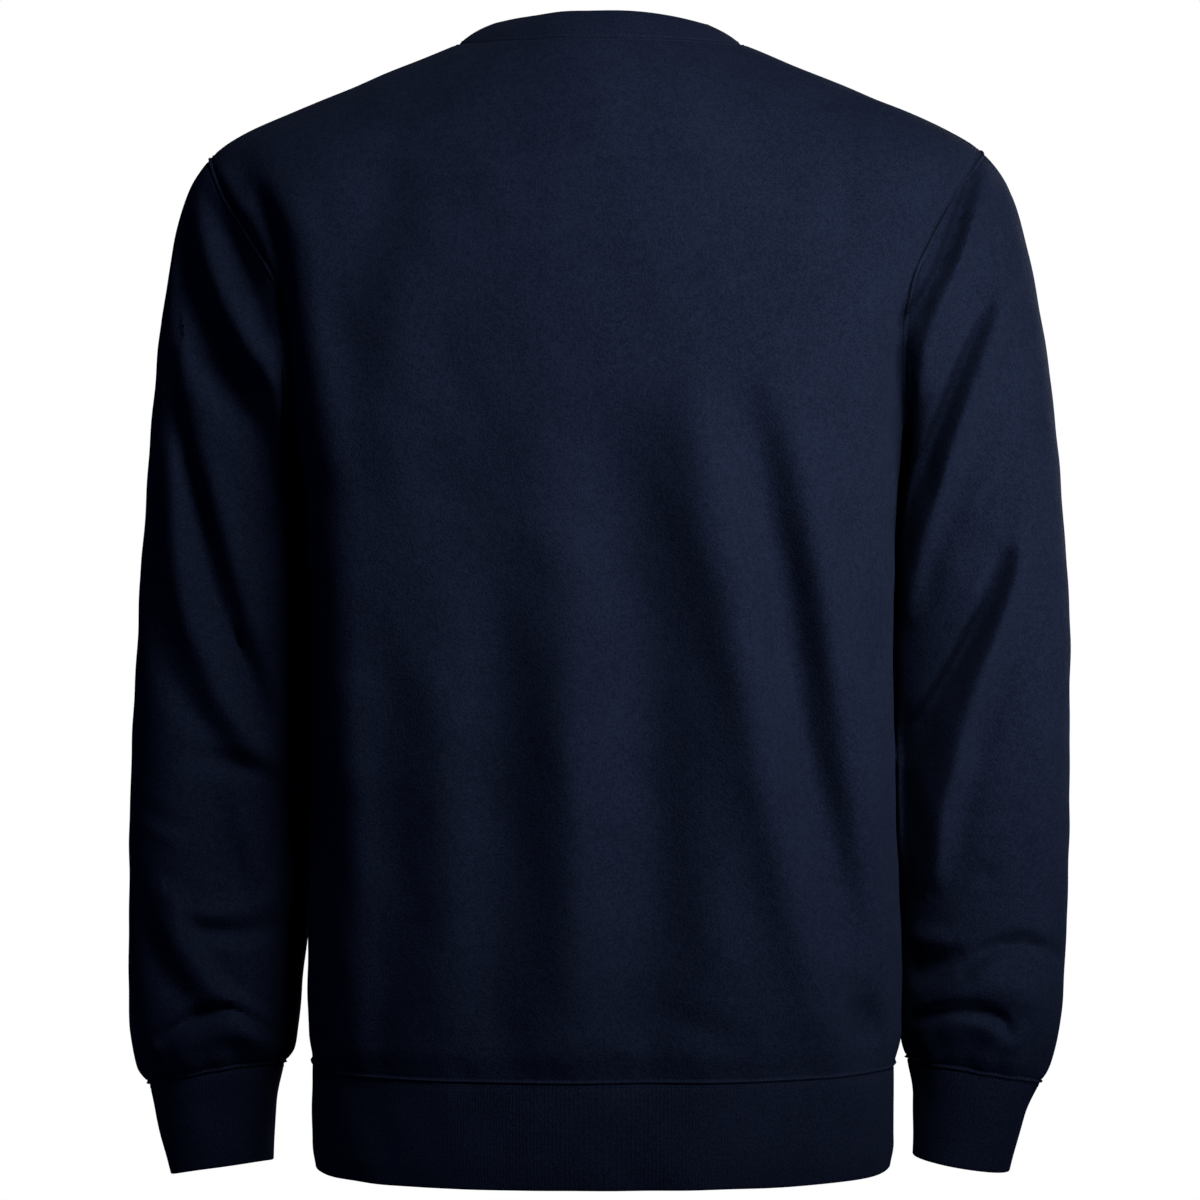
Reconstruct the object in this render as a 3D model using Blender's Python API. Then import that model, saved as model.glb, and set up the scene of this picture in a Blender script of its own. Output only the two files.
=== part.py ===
"""Crewneck sweatshirt in its worn shape, hollow, with nobody in it.

Eight sewn pieces, each a closed wall of cloth: front, back, two sleeves, two
cuffs, waistband and collar. The wearer's front faces -Y, the wearer's left is
+X, and +Z is up. The origin is the middle of the neck opening, level with the
high points of the shoulders, where a wearer's neck and shoulders hold it up.

Every piece is a loft between unlike sections, whose two walls are joined by
mitred seam edges, so that neighbours lie an even seam gap apart all round.
Units are metres.
"""
import math
from collections import namedtuple

import bmesh
import bpy
import numpy as np

# ---------------------------------------------------------------- sizes
FLEECE = 0.0020            # brushed fleece, one layer
RIB = 0.0030               # rib knit, folded double
SEAM_GAP = 0.0003          # clear distance between neighbouring pieces
FOLD_ROUND = 0.0008        # how far a folded rib edge rounds past its rim
MITRE_FROM = 0.86          # cosine of a seam's turn from which its walls share a mitre
MITRE_RAMP = 0.10
FOLDED_FROM = 0.10         # how sharply a seam folds in before its walls part instead
FOLDED_RAMP = 0.30
LEAST_MITRE = 0.75         # keeps a mitred edge from growing long

BAND_TOP_Z = -0.632        # seam between body and waistband
HEM_Z = -0.695             # lower edge of the waistband
ARMPIT_Z = -0.245          # lowest point of both armholes
NECK_HALF_WIDTH = 0.088    # from the middle to the high point of a shoulder
NECK_DROP_BACK = 0.006
NECK_DROP_FRONT = 0.078
NECK_ROUNDNESS = 2.3       # exponent of the neckline's curve

RIDGE_TOP = 0.0417         # the shoulder line, as seen from behind
RIDGE_SLOPE = 0.4225
RIDGE_BLEND = 0.030
RIDGE_TIP_START = 0.200
RIDGE_TIP_DROP = 80.0
ROUND_BACK = 0.160         # height over which the back rounds off to the ridge
ROUND_FRONT = 0.270        # the same at the front, where the chest slopes more
ROUND_TIP = 0.060          # the same for both at the shoulder tips
ROUND_FROM = 0.090         # distances from the middle between which it changes
ROUND_TO = 0.240
SECTION_POWER = 2.5        # squareness of the torso's sections
SLEEVE_POWER = 2.2         # squareness of the sleeves' sections
SLEEVE_CLEAR = 0.0022      # least distance of a sleeve from the body beside it
SLEEVE_PRESS = 0.0050      # how softly a sleeve flattens against the body
PRESS_FROM = 0.03          # share of a sleeve's length over which the pressing sets in
ARMHOLE_REACH = 0.34       # share over which the armhole's loop melts into the arm

COLLAR_WIDTH = 0.025
COLLAR_BULGE = 0.0012
COLLAR_LEAN = 50.0         # degrees from level at the middle of the back and front
COLLAR_LEAN_LESS = 18.0    # how much flatter it lies on the shoulders
COLLAR_NARROWING = 0.80    # turns its lean away from the wearer's sides

# ------------------------------------------------------------ mesh counts
NECK_COLUMNS = 16          # across each half of the neckline, an even number
SHOULDER_COLUMNS = 7       # across each shoulder seam
LOWER_ROWS = 11            # waistband seam to armpit
ARMHOLE_ROWS = 14          # armpit to shoulder tip
SLEEVE_ROWS = 25
RIB_ROWS = 3
COLUMN_FAN = 2.5           # how suddenly the columns gather towards the neck
FINE_STEPS = 60            # steps per column in which the neckline is measured
ARMPIT_PART = 0.64         # share of a column's height that lies below the armpits
EDGE_POWER = 6             # how close to its edge a panel takes the edge's own heights
SLEEVE_SPREAD = 1.15       # gathers the sleeve's rows towards the armhole

# Torso sections: half-width to the wearer's left and right, the place of the
# side seam in depth, and how far the back and front stand off from it.
TorsoRow = namedtuple("TorsoRow", "z left right side_y back front")
TORSO = (
    TorsoRow(-0.695, 0.1765, 0.1800, 0.006, 0.117, 0.116),
    TorsoRow(-0.680, 0.1785, 0.1825, 0.006, 0.119, 0.118),
    TorsoRow(-0.632, 0.1785, 0.1825, 0.006, 0.121, 0.121),
    TorsoRow(-0.612, 0.1810, 0.1865, 0.006, 0.126, 0.127),
    TorsoRow(-0.585, 0.1815, 0.1875, 0.006, 0.126, 0.128),
    TorsoRow(-0.520, 0.1805, 0.1855, 0.007, 0.121, 0.126),
    TorsoRow(-0.430, 0.1790, 0.1825, 0.008, 0.115, 0.124),
    TorsoRow(-0.350, 0.1790, 0.1820, 0.008, 0.115, 0.126),
    TorsoRow(-0.290, 0.1825, 0.1840, 0.006, 0.119, 0.129),
    TorsoRow(-0.245, 0.1890, 0.1880, 0.004, 0.124, 0.129),
    TorsoRow(-0.200, 0.1970, 0.1950, 0.002, 0.127, 0.127),
    TorsoRow(-0.160, 0.2080, 0.2060, 0.000, 0.129, 0.123),
    TorsoRow(-0.130, 0.2200, 0.2170, -0.002, 0.129, 0.119),
    TorsoRow(-0.100, 0.2360, 0.2320, -0.004, 0.128, 0.115),
    TorsoRow(-0.060, 0.2520, 0.2500, -0.006, 0.127, 0.111),
    TorsoRow(0.000, 0.2600, 0.2600, -0.007, 0.126, 0.108),
    TorsoRow(0.040, 0.2620, 0.2620, -0.007, 0.126, 0.108),
)

# Armhole seams, distance from the middle at each height, for each panel.
ArmholeRow = namedtuple("ArmholeRow", "z back_left back_right front_left front_right")
ARMHOLE = (
    ArmholeRow(-0.245, 0.1890, 0.1880, 0.1890, 0.1880),
    ArmholeRow(-0.215, 0.1885, 0.1865, 0.1870, 0.1860),
    ArmholeRow(-0.180, 0.1895, 0.1850, 0.1850, 0.1835),
    ArmholeRow(-0.150, 0.1975, 0.1895, 0.1870, 0.1850),
    ArmholeRow(-0.125, 0.2120, 0.2010, 0.1960, 0.1930),
    ArmholeRow(-0.095, 0.2310, 0.2180, 0.2160, 0.2110),
    ArmholeRow(-0.068, 0.2430, 0.2370, 0.2430, 0.2370),
)
TIP_LEFT = 0.243           # end of the shoulder seam at the sleeve
TIP_RIGHT = 0.237

# Sleeve sections from the armhole down to the cuff seam, each given by its
# outer and inner point in the view from behind, its middle in depth, half its
# depth, and how much its back rises above its front.
SleeveRow = namedtuple("SleeveRow", "at outer_x outer_z inner_x inner_z mid_y depth lift")
SLEEVE_LEFT = (
    SleeveRow(0.00, 0.2430, -0.0680, 0.1890, -0.2450, 0.000, 0.056, 0.000),
    SleeveRow(0.06, 0.2560, -0.0865, 0.1900, -0.2560, -0.002, 0.061, 0.000),
    SleeveRow(0.13, 0.2655, -0.1160, 0.1885, -0.2700, -0.006, 0.066, 0.000),
    SleeveRow(0.21, 0.2735, -0.1620, 0.1838, -0.2880, -0.012, 0.069, 0.000),
    SleeveRow(0.30, 0.2805, -0.2220, 0.1815, -0.3130, -0.018, 0.070, 0.000),
    SleeveRow(0.40, 0.2865, -0.2950, 0.1780, -0.3490, -0.023, 0.069, 0.000),
    SleeveRow(0.52, 0.2920, -0.3760, 0.1765, -0.3990, -0.027, 0.067, 0.000),
    SleeveRow(0.66, 0.2965, -0.4720, 0.1775, -0.4740, -0.030, 0.065, 0.000),
    SleeveRow(0.80, 0.2975, -0.5620, 0.1840, -0.5520, -0.030, 0.063, 0.003),
    SleeveRow(0.90, 0.2965, -0.6130, 0.1895, -0.6030, -0.029, 0.060, 0.005),
    SleeveRow(0.96, 0.2920, -0.6400, 0.1930, -0.6270, -0.028, 0.053, 0.006),
    SleeveRow(1.00, 0.2845, -0.6510, 0.1995, -0.6370, -0.027, 0.042, 0.006),
)
SLEEVE_RIGHT = (
    SleeveRow(0.00, 0.2370, -0.0633, 0.1880, -0.2450, 0.000, 0.056, 0.000),
    SleeveRow(0.06, 0.2545, -0.0865, 0.1890, -0.2560, -0.002, 0.061, 0.000),
    SleeveRow(0.13, 0.2650, -0.1160, 0.1878, -0.2700, -0.007, 0.066, 0.000),
    SleeveRow(0.21, 0.2755, -0.1620, 0.1838, -0.2880, -0.014, 0.069, 0.000),
    SleeveRow(0.30, 0.2850, -0.2220, 0.1810, -0.3130, -0.022, 0.070, 0.000),
    SleeveRow(0.40, 0.2925, -0.2950, 0.1780, -0.3490, -0.030, 0.069, 0.000),
    SleeveRow(0.52, 0.2975, -0.3760, 0.1770, -0.3990, -0.036, 0.067, 0.000),
    SleeveRow(0.66, 0.2975, -0.4720, 0.1780, -0.4740, -0.040, 0.065, 0.000),
    SleeveRow(0.80, 0.2955, -0.5620, 0.1880, -0.5520, -0.041, 0.062, 0.001),
    SleeveRow(0.90, 0.2915, -0.6130, 0.1890, -0.6030, -0.040, 0.059, 0.003),
    SleeveRow(0.96, 0.2845, -0.6390, 0.1915, -0.6240, -0.039, 0.052, 0.003),
    SleeveRow(1.00, 0.2790, -0.6510, 0.1950, -0.6360, -0.038, 0.042, 0.003),
)
CUFF_LEFT = (
    SleeveRow(0.00, 0.2845, -0.6510, 0.1995, -0.6370, -0.027, 0.042, 0.006),
    SleeveRow(0.35, 0.2795, -0.6730, 0.2040, -0.6610, -0.026, 0.037, 0.005),
    SleeveRow(1.00, 0.2705, -0.7105, 0.2065, -0.7010, -0.025, 0.033, 0.004),
)
CUFF_RIGHT = (
    SleeveRow(0.00, 0.2790, -0.6510, 0.1950, -0.6360, -0.038, 0.042, 0.003),
    SleeveRow(0.35, 0.2690, -0.6720, 0.1990, -0.6600, -0.037, 0.037, 0.002),
    SleeveRow(1.00, 0.2600, -0.7085, 0.1985, -0.6990, -0.036, 0.033, 0.000),
)

# The largest folds, as seen from behind ("back") or from the front ("front").
# Each runs from its start to its end (x, z), bows sideways by `bow`, and is
# pushed out (+) or in (-) by `depth` with the given half-width.
Fold = namedtuple("Fold", "facing x0 z0 x1 z1 bow width depth")
FOLDS = (
    # back panel
    Fold("back", 0.205, -0.095, 0.187, -0.235, 0.004, 0.015, -0.009),
    Fold("back", 0.122, -0.090, 0.156, -0.270, 0.008, 0.020, -0.005),
    Fold("back", -0.010, -0.200, -0.062, -0.595, 0.006, 0.028, -0.007),
    Fold("back", 0.037, -0.350, 0.050, -0.626, 0.000, 0.024, -0.005),
    Fold("back", 0.106, -0.400, 0.110, -0.600, 0.000, 0.020, -0.004),
    Fold("back", -0.106, -0.230, -0.163, -0.560, 0.000, 0.017, -0.007),
    Fold("back", -0.082, -0.250, -0.138, -0.610, 0.000, 0.020, 0.004),
    # left sleeve, back
    Fold("back", 0.250, -0.104, 0.196, -0.270, -0.003, 0.015, -0.008),
    Fold("back", 0.264, -0.215, 0.196, -0.460, 0.004, 0.015, -0.008),
    Fold("back", 0.278, -0.320, 0.222, -0.420, 0.000, 0.015, -0.006),
    Fold("back", 0.277, -0.530, 0.203, -0.620, -0.004, 0.015, -0.007),
    # right sleeve, back
    Fold("back", -0.234, -0.090, -0.196, -0.200, 0.003, 0.015, -0.006),
    Fold("back", -0.232, -0.210, -0.196, -0.330, -0.003, 0.015, -0.008),
    Fold("back", -0.254, -0.340, -0.198, -0.480, 0.003, 0.015, -0.009),
    Fold("back", -0.280, -0.565, -0.205, -0.590, -0.004, 0.015, -0.006),
    # front panel
    Fold("front", 0.180, -0.110, 0.130, -0.300, -0.006, 0.018, -0.006),
    Fold("front", -0.185, -0.110, -0.140, -0.320, 0.008, 0.020, -0.006),
    Fold("front", 0.030, -0.260, 0.060, -0.600, 0.006, 0.026, -0.006),
    Fold("front", -0.045, -0.330, -0.035, -0.620, 0.000, 0.022, -0.005),
    Fold("front", -0.110, -0.380, -0.130, -0.600, -0.004, 0.020, -0.005),
    Fold("front", 0.120, -0.420, 0.115, -0.610, 0.003, 0.018, -0.004),
    # sleeves, front
    Fold("front", 0.255, -0.140, 0.202, -0.300, -0.003, 0.015, -0.007),
    Fold("front", 0.272, -0.300, 0.205, -0.400, 0.004, 0.015, -0.008),
    Fold("front", 0.274, -0.400, 0.210, -0.450, 0.000, 0.015, -0.006),
    Fold("front", 0.212, -0.540, 0.275, -0.605, 0.003, 0.015, -0.006),
    Fold("front", -0.250, -0.130, -0.200, -0.290, 0.003, 0.015, -0.007),
    Fold("front", -0.270, -0.290, -0.203, -0.380, -0.004, 0.015, -0.008),
    Fold("front", -0.276, -0.380, -0.210, -0.440, 0.000, 0.015, -0.006),
    Fold("front", -0.210, -0.530, -0.272, -0.600, -0.003, 0.015, -0.006),
)
FOLD_SHOULDER = 0.45       # height of the rise on both sides of a fold, per depth
FOLD_FACING = 0.10         # how far a skin must face the folds' own way before they show
FOLD_FACING_RAMP = 0.45
FOLD_END = 1.5             # length over which a fold fades past its ends, per width
FOLD_END_DEPTH = 0.06      # how deep a fold still is at its ends

# Colour (linear RGB), roughness: one dyed cloth, fleece outside, rib edges.
NAVY_FLEECE = (0.0105, 0.0165, 0.0400, 1.0)
NAVY_RIB = (0.0090, 0.0145, 0.0360, 1.0)
CLOTH_ROUGHNESS = 0.90
SHARP_EDGE = 50.0          # degrees, from which an edge is shaded sharp


# --------------------------------------------------------------- helpers
def smooth_curve(table, key, name, at):
    """Value of one column of a table at the places `at`, on a smooth curve.

    Cubic Hermite pieces whose slope at a row is the harmonic mean of the
    slopes on both sides, and nought at a turning point, so that the curve
    never swings past its rows.
    """
    xs = np.array([getattr(row, key) for row in table])
    ys = np.array([getattr(row, name) for row in table])
    rise = np.diff(ys) / np.diff(xs)
    slope = np.zeros_like(ys)
    same_way = rise[:-1] * rise[1:] > 0.0
    total = np.where(same_way, rise[:-1] + rise[1:], 1.0)
    slope[1:-1] = np.where(same_way, 2.0 * rise[:-1] * rise[1:] / total, 0.0)
    slope[0] = rise[0]
    slope[-1] = rise[-1]
    at = np.clip(at, xs[0], xs[-1])
    span = np.clip(np.searchsorted(xs, at, side="right") - 1, 0, len(xs) - 2)
    width = xs[span + 1] - xs[span]
    u = (at - xs[span]) / width
    return (
        ys[span] * (1.0 + 2.0 * u) * (1.0 - u) ** 2
        + slope[span] * width * u * (1.0 - u) ** 2
        + ys[span + 1] * u * u * (3.0 - 2.0 * u)
        - slope[span + 1] * width * u * u * (1.0 - u)
    )


def smoothstep(value):
    """Ramp from 0 to 1 with level ends."""
    value = np.clip(value, 0.0, 1.0)
    return value * value * (3.0 - 2.0 * value)


def unit(vectors):
    """Vectors scaled to length 1."""
    length = np.linalg.norm(vectors, axis=-1, keepdims=True)
    return vectors / np.maximum(length, 1e-12)


# ----------------------------------------------------------------- torso
def ridge_height(x):
    """Height of the shoulder line at a distance x from the middle."""
    past_tip_start = np.maximum(np.abs(x) - RIDGE_TIP_START, 0.0)
    line = RIDGE_TOP - RIDGE_SLOPE * np.sqrt(x * x + RIDGE_BLEND ** 2)
    return line - RIDGE_TIP_DROP * past_tip_start ** 3


def half_width(x_sign, z):
    """Torso half-width at height z, on the side that the sign of x_sign tells."""
    left = smooth_curve(TORSO, "z", "left", z)
    right = smooth_curve(TORSO, "z", "right", z)
    return np.where(x_sign >= 0.0, left, right)


def torso_section(across_part, z, back):
    """Stand-off of the torso's skin from the side seams, without its shoulders."""
    stand_off = smooth_curve(TORSO, "z", "back" if back else "front", z)
    return stand_off * (1.0 - across_part ** SECTION_POWER) ** (1.0 / SECTION_POWER)


def torso_points(x, z, back):
    """Points of the torso's skin over the places (x, z) of the view from behind.

    Sections are superellipses, which round off towards the shoulder ridge.
    """
    side_y = smooth_curve(TORSO, "z", "side_y", z)
    across = np.clip(np.abs(x) / half_width(x, z), 0.0, 1.0)
    to_tip = smoothstep((np.abs(x) - ROUND_FROM) / (ROUND_TO - ROUND_FROM))
    middle_round = ROUND_BACK if back else ROUND_FRONT
    rounding = middle_round + (ROUND_TIP - middle_round) * to_tip
    below = np.clip((ridge_height(x) - z) / rounding, 0.0, 1.0)
    shoulder = np.sqrt(1.0 - (1.0 - below) ** 2)
    away = torso_section(across, z, back) * shoulder
    return np.stack([x, side_y + np.where(back, away, -away), z], axis=-1)


def neckline(columns, back):
    """x and z of the neckline, from the left shoulder to the right one.

    Its points lie at even distances along the skin.
    """
    angle = np.linspace(0.0, 0.5 * math.pi, FINE_STEPS * columns)
    power = 2.0 / NECK_ROUNDNESS
    x = NECK_HALF_WIDTH * np.cos(angle) ** power
    drop = NECK_DROP_BACK if back else NECK_DROP_FRONT
    z = ridge_height(np.array(NECK_HALF_WIDTH)) - drop * np.sin(angle) ** power
    steps = np.linalg.norm(np.diff(torso_points(x, z, back), axis=0), axis=1)
    travelled = np.concatenate([[0.0], np.cumsum(steps)])
    stops = np.linspace(0.0, travelled[-1], columns // 2 + 1)
    x = np.interp(stops, travelled, x)
    z = np.interp(stops, travelled, z)
    x[-1] = 0.0
    return np.concatenate([x, -x[-2::-1]]), np.concatenate([z, z[-2::-1]])


def panel(back, neck_columns, shoulder_columns, lower_rows, armhole_rows):
    """Skin of the front or back: rows from the waistband up, columns from left.

    The outermost columns follow the side seams and the armholes, and the top
    row follows one shoulder seam, the neckline and the other shoulder seam.
    """
    neck_x, neck_z = neckline(neck_columns, back)
    left_x = np.linspace(TIP_LEFT, NECK_HALF_WIDTH, shoulder_columns + 1)
    right_x = np.linspace(-NECK_HALF_WIDTH, -TIP_RIGHT, shoulder_columns + 1)
    top_x = np.concatenate([left_x[:-1], neck_x, right_x[1:]])
    top_z = np.concatenate([ridge_height(left_x[:-1]), neck_z, ridge_height(right_x[1:])])
    across = np.linspace(1.0, -1.0, len(top_x))

    rows = lower_rows + armhole_rows
    below = np.arange(rows + 1) / lower_rows
    above = (np.arange(rows + 1) - lower_rows) / armhole_rows
    rising = np.clip(above, 0.0, 1.0)
    edge_z = np.empty((rows + 1, 2))
    edge_x = np.empty((rows + 1, 2))
    for side, sign in enumerate((1.0, -1.0)):
        tip = top_x[0] if side == 0 else top_x[-1]
        tip_z = ridge_height(tip)
        lower = BAND_TOP_Z + below * (ARMPIT_Z - BAND_TOP_Z)
        upper = ARMPIT_Z + (tip_z - ARMPIT_Z) * (0.5 - 0.5 * np.cos(math.pi * rising))
        edge_z[:, side] = np.where(above <= 0.0, lower, upper)
        name = ("back" if back else "front") + ("_left" if side == 0 else "_right")
        seam_x = smooth_curve(ARMHOLE, "z", name, edge_z[:, side])
        seam_x[-1] = abs(tip)
        edge_x[:, side] = np.where(above > 0.0, seam_x, half_width(sign, edge_z[:, side]))

    on_left = across >= 0.0
    reach = np.where(on_left, edge_x[:, :1], edge_x[:, 1:])
    beside_z = np.where(on_left, edge_z[:, :1], edge_z[:, 1:])
    share = np.clip(reach / half_width(across, beside_z), 0.0, 1.0)
    edge_angle = np.arcsin(share ** (0.5 * SECTION_POWER))
    turned = np.sin(edge_angle * np.abs(across)) / np.sin(edge_angle)
    low_share = turned ** (2.0 / SECTION_POWER)
    top_share = np.abs(top_x) / np.where(on_left, TIP_LEFT, TIP_RIGHT)
    to_top = rising[:, None] ** COLUMN_FAN
    x = np.sign(across) * reach * (low_share * (1.0 - to_top) + top_share * to_top)
    x[:, 0] = edge_x[:, 0]
    x[:, -1] = -edge_x[:, 1]

    fan = ARMPIT_PART + (1.0 - ARMPIT_PART) * np.sin(0.5 * math.pi * rising)
    inside = np.where(above <= 0.0, below * ARMPIT_PART, fan)[:, None]
    under_ridge = top_z - ridge_height(top_x)
    inside_z = BAND_TOP_Z + inside * (ridge_height(x) + under_ridge - BAND_TOP_Z)
    at_edge = np.abs(across) ** EDGE_POWER
    z = inside_z * (1.0 - at_edge) + beside_z * at_edge
    z[-1] = top_z
    return torso_points(x, z, back)


def waistband(body_ring, rows):
    """Skin of the waistband: the body's lower ring carried down to the hem."""
    down = np.linspace(0.0, 1.0, rows + 1)[:, None]
    z = BAND_TOP_Z + (HEM_Z - BAND_TOP_Z) * down
    sign = np.where(body_ring[:, 0] >= 0.0, 1.0, -1.0)
    top_width = half_width(sign, np.full(len(sign), BAND_TOP_Z))
    share = body_ring[:, 0] / top_width
    x = share * half_width(sign[None, :], np.repeat(z, len(sign), axis=1))
    z = np.broadcast_to(z, x.shape)
    is_back = body_ring[:, 1] >= smooth_curve(TORSO, "z", "side_y", BAND_TOP_Z)
    behind = torso_points(x, z, True)
    ahead = torso_points(x, z, False)
    return np.where(is_back[None, :, None], behind, ahead)


def collar(neck_ring, rows):
    """Skin of the collar: it leans in over the neck and stands up from its seam.

    The lean is steeper at the back and front than on the shoulders, where the
    rib follows the shoulder's own slope.
    """
    middle = np.array([0.0, 0.5 * (neck_ring[:, 1].max() + neck_ring[:, 1].min()), 0.0])
    inward = middle - neck_ring
    inward[:, 2] = 0.0
    inward[:, 0] *= COLLAR_NARROWING
    inward = unit(inward)
    sideways = np.clip(np.abs(neck_ring[:, 0]) / NECK_HALF_WIDTH, 0.0, 1.0) ** 2
    lean_angle = np.radians(COLLAR_LEAN - COLLAR_LEAN_LESS * sideways)[:, None]
    along = inward * np.cos(lean_angle)
    along[:, 2] = np.sin(lean_angle[:, 0])
    outward = -inward * np.sin(lean_angle)
    outward[:, 2] = np.cos(lean_angle[:, 0])
    up = np.linspace(0.0, 1.0, rows + 1)[:, None, None]
    bulge = COLLAR_BULGE * np.sin(math.pi * up)
    return neck_ring[None] + along[None] * COLLAR_WIDTH * up + outward[None] * bulge


# --------------------------------------------------------------- sleeves
def sleeve_section(table, side, at, columns):
    """Rings of a sleeve or cuff, from its inner point round the back and front."""
    turn = 2.0 * math.pi * np.arange(columns) / columns
    power = 2.0 / SLEEVE_POWER
    over = np.sign(np.cos(turn)) * np.abs(np.cos(turn)) ** power
    round_y = np.sign(np.sin(turn)) * np.abs(np.sin(turn)) ** power
    value = {
        name: smooth_curve(table, "at", name, at)[:, None] for name in SleeveRow._fields[1:]
    }
    mid_x = 0.5 * (value["outer_x"] + value["inner_x"])
    mid_z = 0.5 * (value["outer_z"] + value["inner_z"])
    x = mid_x - over * 0.5 * (value["outer_x"] - value["inner_x"])
    z = mid_z - over * 0.5 * (value["outer_z"] - value["inner_z"]) + round_y * value["lift"]
    y = value["mid_y"] + round_y * value["depth"]
    return np.stack([side * x, y, z], axis=-1)


def body_beside(side, points):
    """Distance from the middle of the body's skin beside points of a sleeve."""
    y = points[..., 1]
    z = points[..., 2]
    off = y - smooth_curve(TORSO, "z", "side_y", z)
    stand_off = np.where(
        off >= 0.0, smooth_curve(TORSO, "z", "back", z), smooth_curve(TORSO, "z", "front", z)
    )
    section = 1.0 - np.clip(np.abs(off) / stand_off, 0.0, 1.0) ** SECTION_POWER
    body = half_width(side, z) * section ** (1.0 / SECTION_POWER)
    name = "left" if side > 0.0 else "right"
    behind = smooth_curve(ARMHOLE, "z", "back_" + name, z)
    ahead = smooth_curve(ARMHOLE, "z", "front_" + name, z)
    return np.minimum(body, np.where(off >= 0.0, behind, ahead))


def sleeve(table, side, armhole_ring, rows):
    """Skin of a sleeve: the armhole's own loop melts into the arm's sections.

    Beside the body the sleeve flattens softly and stays just clear of it: its
    distance from the middle is a rounded maximum of its own and the body's.
    """
    at = np.linspace(0.0, 1.0, rows + 1) ** SLEEVE_SPREAD
    tube = sleeve_section(table, side, at, len(armhole_ring))
    left_armhole = (1.0 - smoothstep(at / ARMHOLE_REACH))[:, None, None]
    points = tube + (armhole_ring - tube[0])[None] * left_armhole
    beyond = side * points[..., 0] - body_beside(side, points) - SLEEVE_CLEAR
    pressed = 0.5 * (np.sqrt(beyond * beyond + SLEEVE_PRESS ** 2) - beyond)
    from_seam = smoothstep(at / PRESS_FROM)[:, None]
    points[..., 0] += side * pressed * from_seam
    return points


# ----------------------------------------------------------------- folds
def fold_push(points, normals):
    """How far each point is pushed along Y by the folds that it lies on."""
    push = np.zeros(points.shape[:-1])
    x = points[..., 0]
    z = points[..., 2]
    facing_back = smoothstep((normals[..., 1] - FOLD_FACING) / FOLD_FACING_RAMP)
    facing_front = smoothstep((-normals[..., 1] - FOLD_FACING) / FOLD_FACING_RAMP)
    for fold in FOLDS:
        run_x = fold.x1 - fold.x0
        run_z = fold.z1 - fold.z0
        length = math.hypot(run_x, run_z)
        along = ((x - fold.x0) * run_x + (z - fold.z0) * run_z) / length ** 2
        off = ((x - fold.x0) * run_z - (z - fold.z0) * run_x) / length
        inside = np.clip(along, 0.0, 1.0)
        off = (off - fold.bow * 4.0 * inside * (1.0 - inside)) / fold.width
        past = (along - inside) * length / (FOLD_END * fold.width)
        swell = np.sqrt(np.sin(math.pi * (FOLD_END_DEPTH + (1.0 - 2.0 * FOLD_END_DEPTH) * inside)))
        shape = (1.0 - FOLD_SHOULDER * off * off) * np.exp(-0.5 * off * off - past * past)
        if fold.facing == "back":
            push += fold.depth * shape * swell * facing_back
        else:
            push -= fold.depth * shape * swell * facing_front
    return push


# ----------------------------------------------------------------- walls
def ring_closed(grid):
    """The grid of a ring with its first column repeated at its end."""
    return np.concatenate([grid, grid[:, :1]], axis=1)


def skin_normals(grids):
    """Outward normals of several skins that meet, smooth over their seams.

    Points that coincide, also points of different skins, share one normal.
    """
    points = np.concatenate([grid.reshape(-1, 3) for grid in grids])
    _, shared = np.unique(np.round(points, 6), axis=0, return_inverse=True)
    shared = shared.reshape(-1)
    total = np.zeros((shared.max() + 1, 3))
    start = 0
    for grid in grids:
        rows, columns, _ = grid.shape
        index = start + np.arange(rows * columns).reshape(rows, columns)
        start += rows * columns
        low = index[:-1, :-1].ravel()
        right = index[:-1, 1:].ravel()
        corner = index[1:, 1:].ravel()
        up = index[1:, :-1].ravel()
        face = np.cross(points[corner] - points[low], points[up] - points[right])
        for group in (low, right, corner, up):
            np.add.at(total, shared[group], face)
    normals = unit(total)[shared]
    result = []
    start = 0
    for grid in grids:
        count = grid.shape[0] * grid.shape[1]
        result.append(normals[start:start + count].reshape(grid.shape))
        start += count
    return result


def pull_back(grid, edges):
    """The grid with the named edges drawn in from their seams by half the gap."""
    moved = grid.copy()
    for edge in edges:
        line, inner = {
            "bottom": (grid[0], grid[1]),
            "top": (grid[-1], grid[-2]),
            "left": (grid[:, 0], grid[:, 1]),
            "right": (grid[:, -1], grid[:, -2]),
        }[edge]
        along = unit(np.gradient(line, axis=0))
        inward = inner - line
        inward = unit(inward - along * np.sum(inward * along, axis=-1, keepdims=True))
        step = 0.5 * SEAM_GAP * inward
        if edge == "bottom":
            moved[0] += step
        elif edge == "top":
            moved[-1] += step
        elif edge == "left":
            moved[:, 0] += step
        else:
            moved[:, -1] += step
    return moved


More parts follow.
